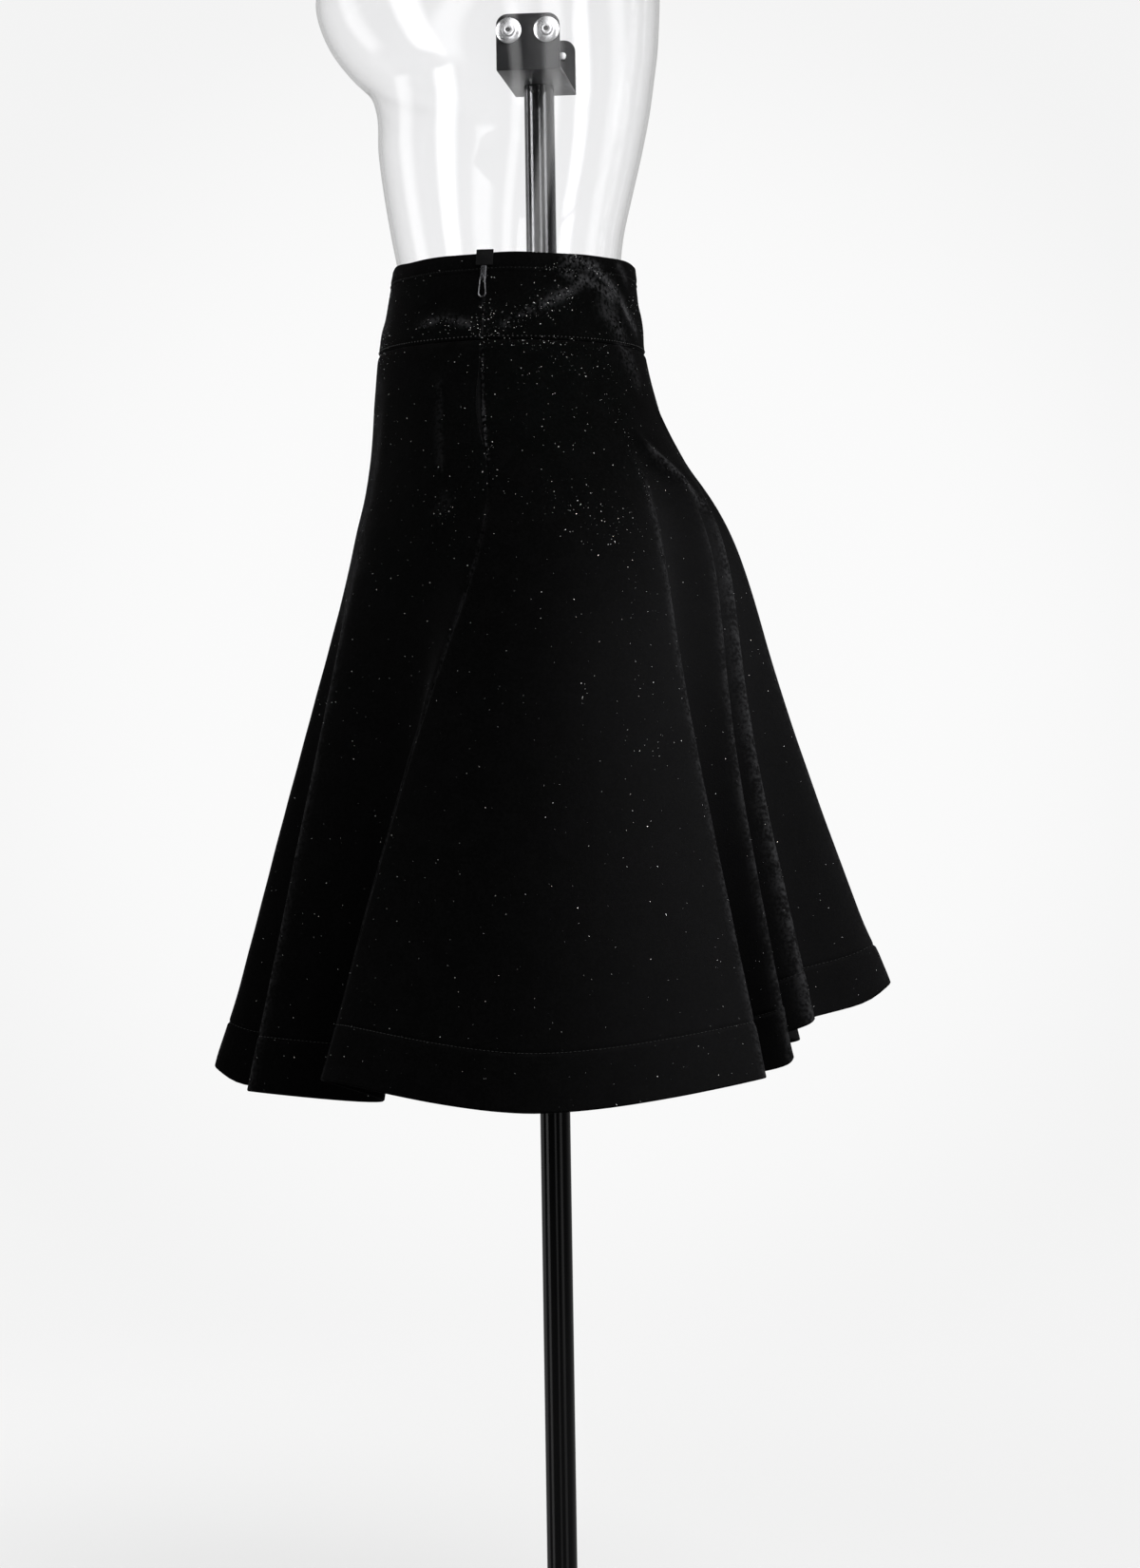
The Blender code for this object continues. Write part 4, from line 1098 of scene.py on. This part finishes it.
# %% Turn a profile about the axis
def make_turned(name, profile, sides, material, body=GARMENT, turn=None, sharp=35):
    """A solid from a profile that starts and ends on the axis, or that closes on itself."""
    bm = bmesh.new()
    verts = [bm.verts.new((p[0], 0.0, p[1])) for p in profile]
    edges = [bm.edges.new(pair) for pair in zip(verts, verts[1:])]
    bmesh.ops.spin(bm, geom=verts + edges, cent=(0, 0, 0), axis=(0, 0, 1), angle=2 * math.pi,
                   steps=sides, use_merge=True)
    bmesh.ops.remove_doubles(bm, verts=bm.verts[:], dist=0.00002)
    bmesh.ops.recalc_face_normals(bm, faces=bm.faces[:])
    if turn is not None:
        bm.transform(turn)
    mesh = bpy.data.meshes.new(name)
    bm.to_mesh(mesh)
    bm.free()
    mesh.shade_smooth()
    mesh.set_sharp_from_angle(angle=math.radians(sharp))
    mesh.materials.append(material)
    obj = add_object(name, mesh)
    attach(obj, body)
    return obj


print("a turned piece is a lathe profile with rounded corners")

# %% The pole and its base
pole_foot = SOCKET_FLOOR + SEAM_GAP
pole = make_turned(
    "stand_pole",
    rounded_profile((
        (0.0, pole_foot), (POLE_RADIUS, pole_foot), (POLE_RADIUS, POLE_TOP), (0.0, POLE_TOP),
    ), 0.0006),
    96, POLE_FINISH,
)
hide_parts("pole")
socket_radius = POLE_RADIUS + SEAM_GAP
base = make_turned(
    "stand_base",
    rounded_profile((
        (0.0, 0.0), (BASE_RADIUS, 0.0), (BASE_RADIUS, BASE_THICKNESS), (SOCKET_RADIUS, BASE_THICKNESS),
        (SOCKET_RADIUS, SOCKET_HEIGHT), (socket_radius, SOCKET_HEIGHT), (socket_radius, SOCKET_FLOOR),
        (0.0, SOCKET_FLOOR),
    ), 0.0015),
    160, BLACK_METAL,
)
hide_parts("base_plate")
for node in ("form_plate", "pole_collar"):
    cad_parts[node].data.materials.clear()
    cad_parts[node].data.materials.append(BLACK_METAL)
print("turned the pole and the base")

# %% The bracket
BRACKET_SHEET = 0.003
BRACKET_WIDTH = 0.0495
BRACKET_HEIGHT = 0.044
BRACKET_NEAR_X = 0.073
BRACKET_FAR_X = -0.047
BRACKET_CORNER = 0.009
CORNER_POINTS = 6


def make_bracket():
    """A sheet folded into a U. The wall and the bevel are applied to the mesh."""
    floor = POLE_TOP + SEAM_GAP + BRACKET_SHEET
    top = POLE_TOP + SEAM_GAP + BRACKET_HEIGHT
    half = BRACKET_WIDTH / 2
    arc = [(half - BRACKET_CORNER + BRACKET_CORNER * math.sin(a),
            top - BRACKET_CORNER + BRACKET_CORNER * math.cos(a))
           for a in np.linspace(math.pi / 2, 0.0, CORNER_POINTS)]
    outline = [(-half, floor), (half, floor)] + arc + [(-y, z) for y, z in reversed(arc)]
    bm = bmesh.new()
    near = [bm.verts.new((BRACKET_NEAR_X, y, z)) for y, z in outline]
    far = [bm.verts.new((BRACKET_FAR_X, y, z)) for y, z in outline]
    bm.faces.new(near)
    bm.faces.new(reversed(far))
    bm.faces.new((near[1], near[0], far[0], far[1]))
    mesh = bpy.data.meshes.new("bracket_sheet")
    bm.to_mesh(mesh)
    bm.free()
    carrier = add_object("bracket_sheet", mesh)
    wall = carrier.modifiers.new("wall", "SOLIDIFY")
    wall.thickness = BRACKET_SHEET
    wall.offset = 1.0
    wall.use_even_offset = True
    bevel = carrier.modifiers.new("bevel", "BEVEL")
    bevel.width = 0.0006
    bevel.segments = 2
    final = apply_modifiers(carrier, "pole_top_bracket")
    final.shade_smooth()
    final.set_sharp_from_angle(angle=math.radians(30))
    final.materials.clear()
    final.materials.append(BLACK_METAL)
    bracket = add_object("pole_top_bracket", final)
    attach(bracket, GARMENT)
    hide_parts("bracket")
    return bracket


make_bracket()
print("folded the bracket from a sheet", BRACKET_SHEET, "m thick")

# %% The washers and the screws
WASHER_RADIUS = 0.010
WASHER_SPACING = 0.0295
WASHER_HEIGHT = 1.2800
WASHER_DISH = 0.0022
SCREW_RADIUS = 0.0030
SCREW_HEAD_LIFT = 0.0009
SCREW_HEAD_RADIUS = 0.0046
SCREW_HEAD = 0.0020
SCREW_SOCKET = 0.0018
SCREW_LENGTH = 0.0060
SOCKET_DEPTH = 0.0015
WASHER_PROFILE = (
    (WASHER_RADIUS, 0.0), (WASHER_RADIUS, 0.0008), (0.0085, 0.0015), (0.0065, WASHER_DISH),
    (0.0052, WASHER_DISH + 0.0002),
)


def darken_socket(piece, middle, seat):
    """The recess in a screw's head takes no light, so its faces are black."""
    piece.data.materials.append(BLACK_METAL)
    for face in piece.data.polygons:
        off_axis = math.hypot(face.center.y - middle.y, face.center.z - middle.z)
        if off_axis < SCREW_SOCKET * 1.05 and abs(face.center.x) > abs(seat):
            face.material_index = 1


def make_fastener(label, x, y, facing):
    """A dished washer and a socket head screw, turned to stand on one wall of the bracket."""
    inner = SCREW_RADIUS + SEAM_GAP
    washer = ((inner, 0.0), *WASHER_PROFILE, (inner, WASHER_DISH - 0.0002), (inner, 0.0))
    under = WASHER_DISH + SCREW_HEAD_LIFT
    head = under + SCREW_HEAD
    floor = head - SOCKET_DEPTH
    screw = (
        (0.0, -SCREW_LENGTH), (SCREW_RADIUS, -SCREW_LENGTH), (SCREW_RADIUS, under), (SCREW_HEAD_RADIUS, under),
        (SCREW_HEAD_RADIUS, head), (SCREW_SOCKET, head), (SCREW_SOCKET, floor), (0.0, floor),
    )
    start = x + facing * (BRACKET_SHEET + SEAM_GAP)
    turn = Matrix.Translation((start, y, WASHER_HEIGHT)) @ Matrix.Rotation(facing * math.pi / 2, 4, "Y")
    for kind, profile, radius in (("washer", washer, 0.0002), ("screw", screw, 0.0004)):
        piece = make_turned(f"{kind}_{label}_finished", rounded_profile(profile, radius, 2), 40, STEEL,
                            turn=turn)
        if kind == "screw":
            darken_socket(piece, Vector((start, y, WASHER_HEIGHT)), start + facing * under)
        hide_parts(f"{kind}_{label}")


for number, y in ((1, -WASHER_SPACING / 2), (2, WASHER_SPACING / 2)):
    make_fastener(f"near_{number}", BRACKET_NEAR_X, y, 1)
    make_fastener(f"far_{number}", BRACKET_FAR_X, y, -1)
print("made four washers and four screws")

# %% [markdown]
# ## The zip
# The solids of the zip's fittings have their real forms with plain edges. Each is copied here, its edges are
# rounded, and the satin end tab gets a little unevenness. The pull rides on its own body, because it swings.

# %% Finish the zip's fittings
def finish_copy(node, name, material, rounding, body=GARMENT, unevenness=0.0):
    """A copy of a solid with round edges and its own finish, which stands in for it in the picture."""
    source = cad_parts[node]
    mesh = source.data.copy()
    mesh.transform(source.matrix_world)
    bm = bmesh.new()
    bm.from_mesh(mesh)
    bmesh.ops.remove_doubles(bm, verts=bm.verts[:], dist=0.00001)
    bmesh.ops.dissolve_limit(bm, angle_limit=math.radians(1), verts=bm.verts[:], edges=bm.edges[:])
    bm.to_mesh(mesh)
    bm.free()
    carrier = add_object(name + "_carrier", mesh)
    bevel = carrier.modifiers.new("round edges", "BEVEL")
    bevel.width = rounding
    bevel.segments = 3
    bevel.limit_method = "ANGLE"
    bevel.angle_limit = math.radians(40)
    final = apply_modifiers(carrier, name)
    points = np.empty(len(final.vertices) * 3)
    final.vertices.foreach_get("co", points)
    points = points.reshape(-1, 3)
    points[:, 0] += unevenness * waviness(points, 0.008, 31)
    final.vertices.foreach_set("co", points.ravel())
    final.materials.clear()
    final.materials.append(material)
    final.shade_smooth()
    final.set_sharp_from_angle(angle=math.radians(50))
    obj = add_object(name, final)
    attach(obj, body)
    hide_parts(node)
    print(name, len(final.polygons), "faces")
    return obj


finish_copy("zip_tape", "zip_tape_finished", SATIN, 0.00015)
finish_copy("zip_end_tab", "satin_end_tab", SATIN, 0.00035, unevenness=0.0004)
finish_copy("zip_slider", "zip_slider_finished", ZIP_METAL, 0.00025)
finish_copy("zip_pull_tab", "zip_pull_finished", ZIP_METAL, 0.00015, body=PULL)

# %% [markdown]
# ## Stitches
# A row of stitches repeats one short thread along a path, which is what Geometry Nodes do best: the tree takes
# a curve, steps along it and puts one small pill on each step. The same tree sews the top edge, the yoke seam
# and the hem, each with its own pitch.

# %% Shared parts of the trees
def new_tree(name, inputs, output):
    """A tree of geometry nodes with named inputs, each given as its kind and its first value."""
    tree = bpy.data.node_groups.new(name, "GeometryNodeTree")
    for label, (kind, value) in inputs.items():
        socket = tree.interface.new_socket(label, in_out="INPUT", socket_type="NodeSocket" + kind)
        if value is not None:
            socket.default_value = value
    tree.interface.new_socket(output, in_out="OUTPUT", socket_type="NodeSocketGeometry")
    return tree, tree.nodes.new("NodeGroupInput").outputs, tree.nodes.new("NodeGroupOutput")


def repeat(tree, points, piece, rotation, scale, material, leave):
    """One copy of a piece on each point, made real and given its material, as the tree's result."""
    copies = add_node(tree, "GeometryNodeInstanceOnPoints", {
        "Points": points, "Instance": piece, "Rotation": rotation, "Scale": scale,
    })
    real = add_node(tree, "GeometryNodeRealizeInstances", {"Geometry": copies.outputs["Instances"]})
    paint = add_node(tree, "GeometryNodeSetMaterial", {
        "Geometry": real.outputs["Geometry"], "Material": material,
    })
    feed(tree, leave, {0: paint.outputs["Geometry"]})


print("both trees end with real copies that have their material")


# %% A tree that sews along a curve
def stitch_tree():
    tree, enter, leave = new_tree("sew_along_curve", {
        "Path": ("Geometry", None), "Pitch": ("Float", 0.0030), "Stitch length": ("Float", 0.0022),
        "Thread width": ("Float", 0.0005), "Thread": ("Material", None),
    }, "Stitches")
    step = add_node(tree, "GeometryNodeResampleCurve", {"Curve": enter["Path"], "Length": enter["Pitch"]},
                    mode="LENGTH")
    tangent = tree.nodes.new("GeometryNodeInputTangent").outputs["Tangent"]
    turn = add_node(tree, "FunctionNodeAlignRotationToVector", {"Vector": tangent}, axis="X")
    pill = add_node(tree, "GeometryNodeMeshUVSphere", {"Segments": 6, "Rings": 4, "Radius": 0.5})
    size = add_node(tree, "ShaderNodeCombineXYZ", {
        "X": enter["Stitch length"], "Y": enter["Thread width"], "Z": enter["Thread width"],
    })
    repeat(tree, step.outputs["Curve"], pill.outputs["Mesh"], turn.outputs["Rotation"],
           size.outputs["Vector"], enter["Thread"], leave)
    return tree


SEW = stitch_tree()
print("the tree", SEW.name, "has", len(SEW.nodes), "nodes")


# %% Run a tree once and keep its result
def grow(carrier, tree, name, values, body=GARMENT, smooth=True):
    """Runs a tree on a carrier object once, keeps the result as a plain piece and removes the carrier."""
    modifier = carrier.modifiers.new(tree.name, "NODES")
    modifier.node_group = tree
    for item in tree.interface.items_tree:
        if item.item_type == "SOCKET" and item.in_out == "INPUT" and item.name in values:
            modifier[item.identifier] = values[item.name]
    mesh = apply_modifiers(carrier, name)
    if smooth:
        mesh.shade_smooth()
    else:
        mesh.shade_flat()
    obj = add_object(name, mesh)
    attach(obj, body)
    print(name, len(mesh.polygons), "faces")
    return obj


def path_curve(name, points, cyclic):
    curve = bpy.data.curves.new(name, "CURVE")
    curve.dimensions = "3D"
    spline = curve.splines.new("POLY")
    spline.points.add(len(points) - 1)
    for knot, point in zip(spline.points, points):
        knot.co = (*point, 1.0)
    spline.use_cyclic_u = cyclic
    obj = add_object(name, curve)
    return obj


print("a path is a poly curve through points of the cloth")

# %% Sew the top edge, the yoke seam and the hem
THREAD_OUT = 0.0001


def sewn_row(name, face, normal, drops, at, pitch, length, width, thread=THREAD):
    """A row of stitches on the cloth's outer face, at one level."""
    row = int(np.argmin(np.abs(drops - at)))
    points = face[row] + normal[row] * THREAD_OUT
    carrier = path_curve(name, points, True)
    return grow(carrier, SEW, name,
                {"Pitch": pitch, "Stitch length": length, "Thread width": width, "Thread": thread})


top_stitches = sewn_row("top_edge_stitches", yoke_face, yoke_normal, yoke_drops,
                        TOP_BAND_DEPTH - TOP_STITCH_ABOVE, 0.0030, 0.0020, 0.00035)
seam_stitches = sewn_row("yoke_seam_stitches", yoke_face, yoke_normal, yoke_drops,
                         YOKE_DEPTH - 0.0024, 0.0036, 0.0014, 0.00055, HIGHLIT_SEAM_THREAD)
hem_stitches = sewn_row("hem_stitches", skirt_face, skirt_normal, skirt_drops,
                        HEM_DROP, 0.0032, 0.0024, 0.00035)
print("sewed the top edge, the yoke seam and the hem")

# %% [markdown]
# ## Glitter
# The sparkle of this velvet is thousands of foil flakes, each a fraction of a millimetre, lying in the pile at
# all angles. The tree scatters points by the glitter attribute, puts a thin six-sided flake on each, tilts it
# and gives it a painted glint: a random few flakes are painted bright and most dark, for the few that catch the
# light.

# %% The foil
def flake_material():
    """Foil with a painted glint: a few flakes are painted bright and most dark, for the few that catch the light.
    """
    material, tree, shader = new_material("silver_flakes")
    mottle = place_group(tree, MOTTLE, 300.0, 3000.0)
    feed(tree, shader, {
        "Base Color": tint(tree, painted(tree, "painted_glint"), (0.01, 0.01, 0.011), (1.0, 1.0, 1.0)),
        "Roughness": between(tree, mottle, 0.42, 0.60),
        "Metallic": 1.0,
    })
    return material


FLAKES = flake_material()
print("made", FLAKES.name)

# %% A tree that scatters flakes
FLAKE_SIDES = 6
FLAKE_THICKNESS = 0.12
SMALLEST_FLAKE = 0.7
LARGEST_FLAKE = 1.2
PAINTED_GLINT_POWER = 4.0


def glitter_tree():
    """Flakes on points of the cloth, thickest where the glitter attribute is high."""
    tree, enter, leave = new_tree("scatter_flakes", {
        "Cloth": ("Geometry", None), "Most per square metre": ("Float", 20000.0),
        "Flake size": ("Float", 0.0006), "Tilt": ("Float", 0.6), "Seed": ("Int", 7), "Foil": ("Material", None),
    }, "Flakes")
    thick = add_node(tree, "GeometryNodeInputNamedAttribute", {"Name": "glitter"}, data_type="FLOAT")
    scatter = add_node(tree, "GeometryNodeDistributePointsOnFaces", {
        "Mesh": enter["Cloth"], "Seed": enter["Seed"],
        "Density": arithmetic(tree, "MULTIPLY", thick.outputs["Attribute"], enter["Most per square metre"]),
    })
    tilt = add_node(tree, "FunctionNodeRandomValue", data_type="FLOAT_VECTOR")
    feed(tree, tilt, {
        0: arithmetic(tree, "MULTIPLY", enter["Tilt"], -1.0), 1: enter["Tilt"], "Seed": enter["Seed"],
    })
    euler = add_node(tree, "FunctionNodeEulerToRotation", {"Euler": tilt.outputs[0]})
    turn = add_node(tree, "FunctionNodeRotateRotation", {
        "Rotation": scatter.outputs["Rotation"], "Rotate By": euler.outputs["Rotation"],
    }, rotation_space="LOCAL")
    # Painted glint: a random brightness for each flake, so that few of them are bright.
    painted_glint = add_node(tree, "FunctionNodeRandomValue", data_type="FLOAT")
    keep = add_node(tree, "GeometryNodeStoreNamedAttribute", {
        "Geometry": scatter.outputs["Points"], "Name": "painted_glint",
        "Value": arithmetic(tree, "POWER", painted_glint.outputs[1], PAINTED_GLINT_POWER),
    }, data_type="FLOAT", domain="POINT")
    flake = add_node(tree, "GeometryNodeMeshCylinder", {"Vertices": FLAKE_SIDES, "Radius": 0.5, "Depth": 1.0})
    size = add_node(tree, "FunctionNodeRandomValue", {2: SMALLEST_FLAKE, 3: LARGEST_FLAKE}, data_type="FLOAT")
    wide = arithmetic(tree, "MULTIPLY", size.outputs[1], enter["Flake size"])
    form = add_node(tree, "ShaderNodeCombineXYZ", {
        "X": wide, "Y": wide, "Z": arithmetic(tree, "MULTIPLY", wide, FLAKE_THICKNESS),
    })
    repeat(tree, keep.outputs["Geometry"], flake.outputs["Mesh"], turn.outputs["Rotation"],
           form.outputs["Vector"], enter["Foil"], leave)
    return tree


SCATTER = glitter_tree()
print("the tree", SCATTER.name, "has", len(SCATTER.nodes), "nodes")

# %% Scatter the flakes on the four panels
FLAKE_LIFT = 0.0002


def outer_copy(piece):
    """A copy of a panel's outer face alone, lifted to the tips of the pile, with its glitter attribute."""
    mesh = piece.data
    count = len(mesh.vertices) // 2
    points = np.empty(len(mesh.vertices) * 3)
    mesh.vertices.foreach_get("co", points)
    normals = np.empty(len(mesh.vertices) * 3)
    mesh.vertex_normals.foreach_get("vector", normals)
    points = points.reshape(-1, 3)[:count] + normals.reshape(-1, 3)[:count] * FLAKE_LIFT
    faces = [tuple(p.vertices) for p in mesh.polygons if max(p.vertices) < count]
    copy = bpy.data.meshes.new(piece.name + "_face")
    copy.from_pydata([tuple(p) for p in points], [], faces)
    carrier = add_object(copy.name, copy)
    values = np.empty(len(mesh.vertices), dtype=np.float32)
    mesh.attributes["glitter"].data.foreach_get("value", values)
    add_attribute(carrier, "glitter", values[:count])
    return carrier


for seed, piece in enumerate((skirt_front, skirt_back, yoke_front, yoke_back)):
    grow(outer_copy(piece), SCATTER, piece.name + "_flakes", {
        "Most per square metre": 100000.0, "Flake size": 0.00041, "Tilt": 0.5, "Seed": seed + 3, "Foil": FLAKES,
    }, smooth=False)

# %% [markdown]
# A flared panel is cut as part of a ring: its top edge is the yoke seam.

print("four panels, each cut as part of a ring")

# %% [markdown]
# ## Floor, light and camera
# A white studio: a pale floor that fades out into a pale surround. One large soft light high behind the right
# shoulder draws the sheen of the velvet, and four weaker ones keep the other sides from going black. Clear
# plastic and bright metal show only what they reflect, so the surround holds tall bright panels that
# reflections alone can see. They draw the long highlights on the form and the stripes on the pole.

# %% What the surround is made of
BACKDROP_LIGHT = 0.90
BACKDROP_GLOW = 0.06
BACKDROP_MIDDLE = (-0.9945, -0.1045, 0.03)
MIRRORED_BACKDROP = 0.60
BACKDROP_EDGE = 0.45
ROOM_EDGE = 0.10
ROOM_LIGHT = 0.10
CLOTH_FILL = 0.20
Panel = namedtuple("Panel", "bearing half_width soft light")
BRIGHT_PANELS = (
    Panel(-14, 8, 5, 1.6),
    Panel(30, 9, 4, 6.5),
    Panel(96, 6, 4, 3.0),
    Panel(138, 9, 5, 3.4),
)
PANEL_FOOT = (-0.40, -0.34)
PANEL_HEAD = (0.50, 0.62)
print(len(BRIGHT_PANELS), "bright panels in the reflections")

# %% The floor
FLOOR_RADIUS = 9.0
FLOOR_WHOLE = 0.5
FLOOR_GONE = 2.4
FLOOR_ALPHA = 0.30


def make_floor():
    bm = bmesh.new()
    bmesh.ops.create_circle(bm, cap_ends=True, segments=96, radius=FLOOR_RADIUS)
    mesh = bpy.data.meshes.new("studio_floor")
    bm.to_mesh(mesh)
    bm.free()
    material, tree, shader = new_material("pale_floor")
    length = add_node(tree, "ShaderNodeVectorMath", {0: object_place(tree)}, operation="LENGTH")
    feed(tree, shader, {
        "Base Color": (0.33, 0.33, 0.33, 1.0), "Roughness": 0.9, "Specular IOR Level": 0.0,
        "Alpha": mapped(tree, length.outputs["Value"], FLOOR_WHOLE, FLOOR_GONE, FLOOR_ALPHA, 0.0, "SMOOTHSTEP"),
    })
    mesh.materials.append(material)
    floor = add_object("studio_floor", mesh)
    floor.visible_shadow = False


make_floor()
print("the floor fades out", FLOOR_GONE, "m from the pole")


# %% Windows in the surround's shader
def window(tree, value, low, high, low_gives=0.0, high_gives=1.0):
    """A smooth step between two levels."""
    return mapped(tree, value, low, high, low_gives, high_gives, "SMOOTHSTEP")


def bearing_window(tree, bearing, panel):
    """1 inside a panel's range of bearings and 0 outside it, with soft sides."""
    away = arithmetic(tree, "SUBTRACT", bearing, math.radians(panel.bearing))
    return window(tree, arithmetic(tree, "ABSOLUTE", away, 0.0), math.radians(panel.half_width - panel.soft),
                  math.radians(panel.half_width + panel.soft), 1.0, 0.0)


print("a panel's window fades over", BRIGHT_PANELS[0].soft, "degrees on each side of its edge")


# %% The surround
def make_surround():
    """White wherever the camera looks, also through the plastic. Reflections see a room with tall bright
    panels, and the cloth gets an even, dim light."""
    world = bpy.data.worlds.new("pale_studio")
    bpy.context.scene.world = world
    world.use_nodes = True
    tree = world.node_tree
    tree.nodes.clear()
    place = object_place(tree)
    x, y, z = add_node(tree, "ShaderNodeSeparateXYZ", {"Vector": place}).outputs
    backdrop = window(tree, x, -BACKDROP_EDGE, ROOM_EDGE, MIRRORED_BACKDROP, ROOM_LIGHT)
    middle = add_node(tree, "ShaderNodeVectorMath", {0: place, 1: BACKDROP_MIDDLE}, operation="DOT_PRODUCT")
    glow = window(tree, middle.outputs["Value"], 0.984, 0.998, 0.0, BACKDROP_GLOW)
    bearing = arithmetic(tree, "ARCTAN2", x, arithmetic(tree, "MULTIPLY", y, -1.0))
    panels = 0.0
    for panel in BRIGHT_PANELS:
        light = arithmetic(tree, "MULTIPLY", bearing_window(tree, bearing, panel), panel.light)
        panels = arithmetic(tree, "ADD", light, panels)
    reach = arithmetic(tree, "MULTIPLY", window(tree, z, *PANEL_FOOT), window(tree, z, *PANEL_HEAD, 1.0, 0.0))
    panels = arithmetic(tree, "MULTIPLY", panels, reach)
    path = tree.nodes.new("ShaderNodeLightPath").outputs
    reflected, softened = (
        arithmetic(tree, "GREATER_THAN", path[depth], 0.5) for depth in ("Glossy Depth", "Diffuse Depth")
    )
    straight = arithmetic(tree, "SUBTRACT", 1.0, reflected)
    seen = arithmetic(tree, "MULTIPLY", straight, arithmetic(tree, "ADD", glow, BACKDROP_LIGHT))
    room = arithmetic(tree, "MULTIPLY", reflected, arithmetic(tree, "ADD", backdrop, panels))
    sharp = arithmetic(tree, "MULTIPLY", arithmetic(tree, "ADD", seen, room),
                       arithmetic(tree, "SUBTRACT", 1.0, softened))
    total = arithmetic(tree, "ADD", sharp, arithmetic(tree, "MULTIPLY", softened, CLOTH_FILL))
    light = add_node(tree, "ShaderNodeBackground", {"Strength": total, "Color": (1.0, 1.0, 1.0, 1.0)})
    add_node(tree, "ShaderNodeOutputWorld", {"Surface": light.outputs["Background"]})


make_surround()
print("the surround is", BACKDROP_LIGHT, "bright where the camera looks")

# %% Lights
Softbox = namedtuple("Softbox", "name bearing distance height width tall power glossy")
SOFTBOXES = (
    Softbox("key_high_back_right", 134, 2.4, 3.40, 2.0, 2.0, 200, True),
    Softbox("fill_front_left", 24, 2.6, 1.50, 1.7, 1.4, 34, False),
    Softbox("front_box", 346, 2.6, 1.40, 1.6, 1.6, 75, False),
    Softbox("rim_box", 188, 2.6, 1.30, 1.0, 1.6, 55, False),
    Softbox("far_side_box", 282, 2.8, 1.80, 1.4, 1.6, 85, False),
)


def add_softbox(box, aim=Vector((0.0, 0.0, 1.0))):
    light = bpy.data.lights.new(box.name, "AREA")
    light.shape = "RECTANGLE"
    light.size = box.width
    light.size_y = box.tall
    light.energy = box.power
    angle = math.radians(box.bearing)
    obj = add_object(box.name, light)
    obj.location = (box.distance * math.sin(angle), -box.distance * math.cos(angle), box.height)
    obj.rotation_euler = (aim - obj.location).to_track_quat("-Z", "Y").to_euler()
    obj.visible_camera = False
    obj.visible_transmission = False
    obj.visible_glossy = box.glossy


for box in SOFTBOXES:
    add_softbox(box)
print(len(SOFTBOXES), "soft lights")

# %% Camera
CAMERA_DISTANCE = 3.3
CAMERA_HEIGHT = 0.695
CAMERA_AZIMUTH = 96.0
CAMERA_ASIDE = 0.0158
CAMERA_LENS = 95.5
CAMERA_ROLL = -0.9


def make_camera():
    """The photo's view: level, from the zip side, with the object leaning a little to the left."""
    angle = math.radians(CAMERA_AZIMUTH)
    back = Vector((math.sin(angle), -math.cos(angle), 0.0))
    right = Vector((math.cos(angle), math.sin(angle), 0.0))
    up = Vector((0.0, 0.0, 1.0))
    roll = math.radians(CAMERA_ROLL)
    across = right * math.cos(roll) + up * math.sin(roll)
    upright = up * math.cos(roll) - right * math.sin(roll)
    data = bpy.data.cameras.new("photo_view")
    data.lens = CAMERA_LENS
    data.sensor_width = 36.0
    camera = add_object("photo_view", data)
    turn = Matrix((across, upright, back)).transposed().to_4x4()
    place = back * CAMERA_DISTANCE + right * CAMERA_ASIDE + up * CAMERA_HEIGHT
    camera.matrix_world = Matrix.Translation(place) @ turn
    bpy.context.scene.camera = camera


make_camera()
bpy.context.scene.view_settings.view_transform = "Standard"
print("the camera stands", CAMERA_DISTANCE, "m away at a bearing of", CAMERA_AZIMUTH, "degrees")
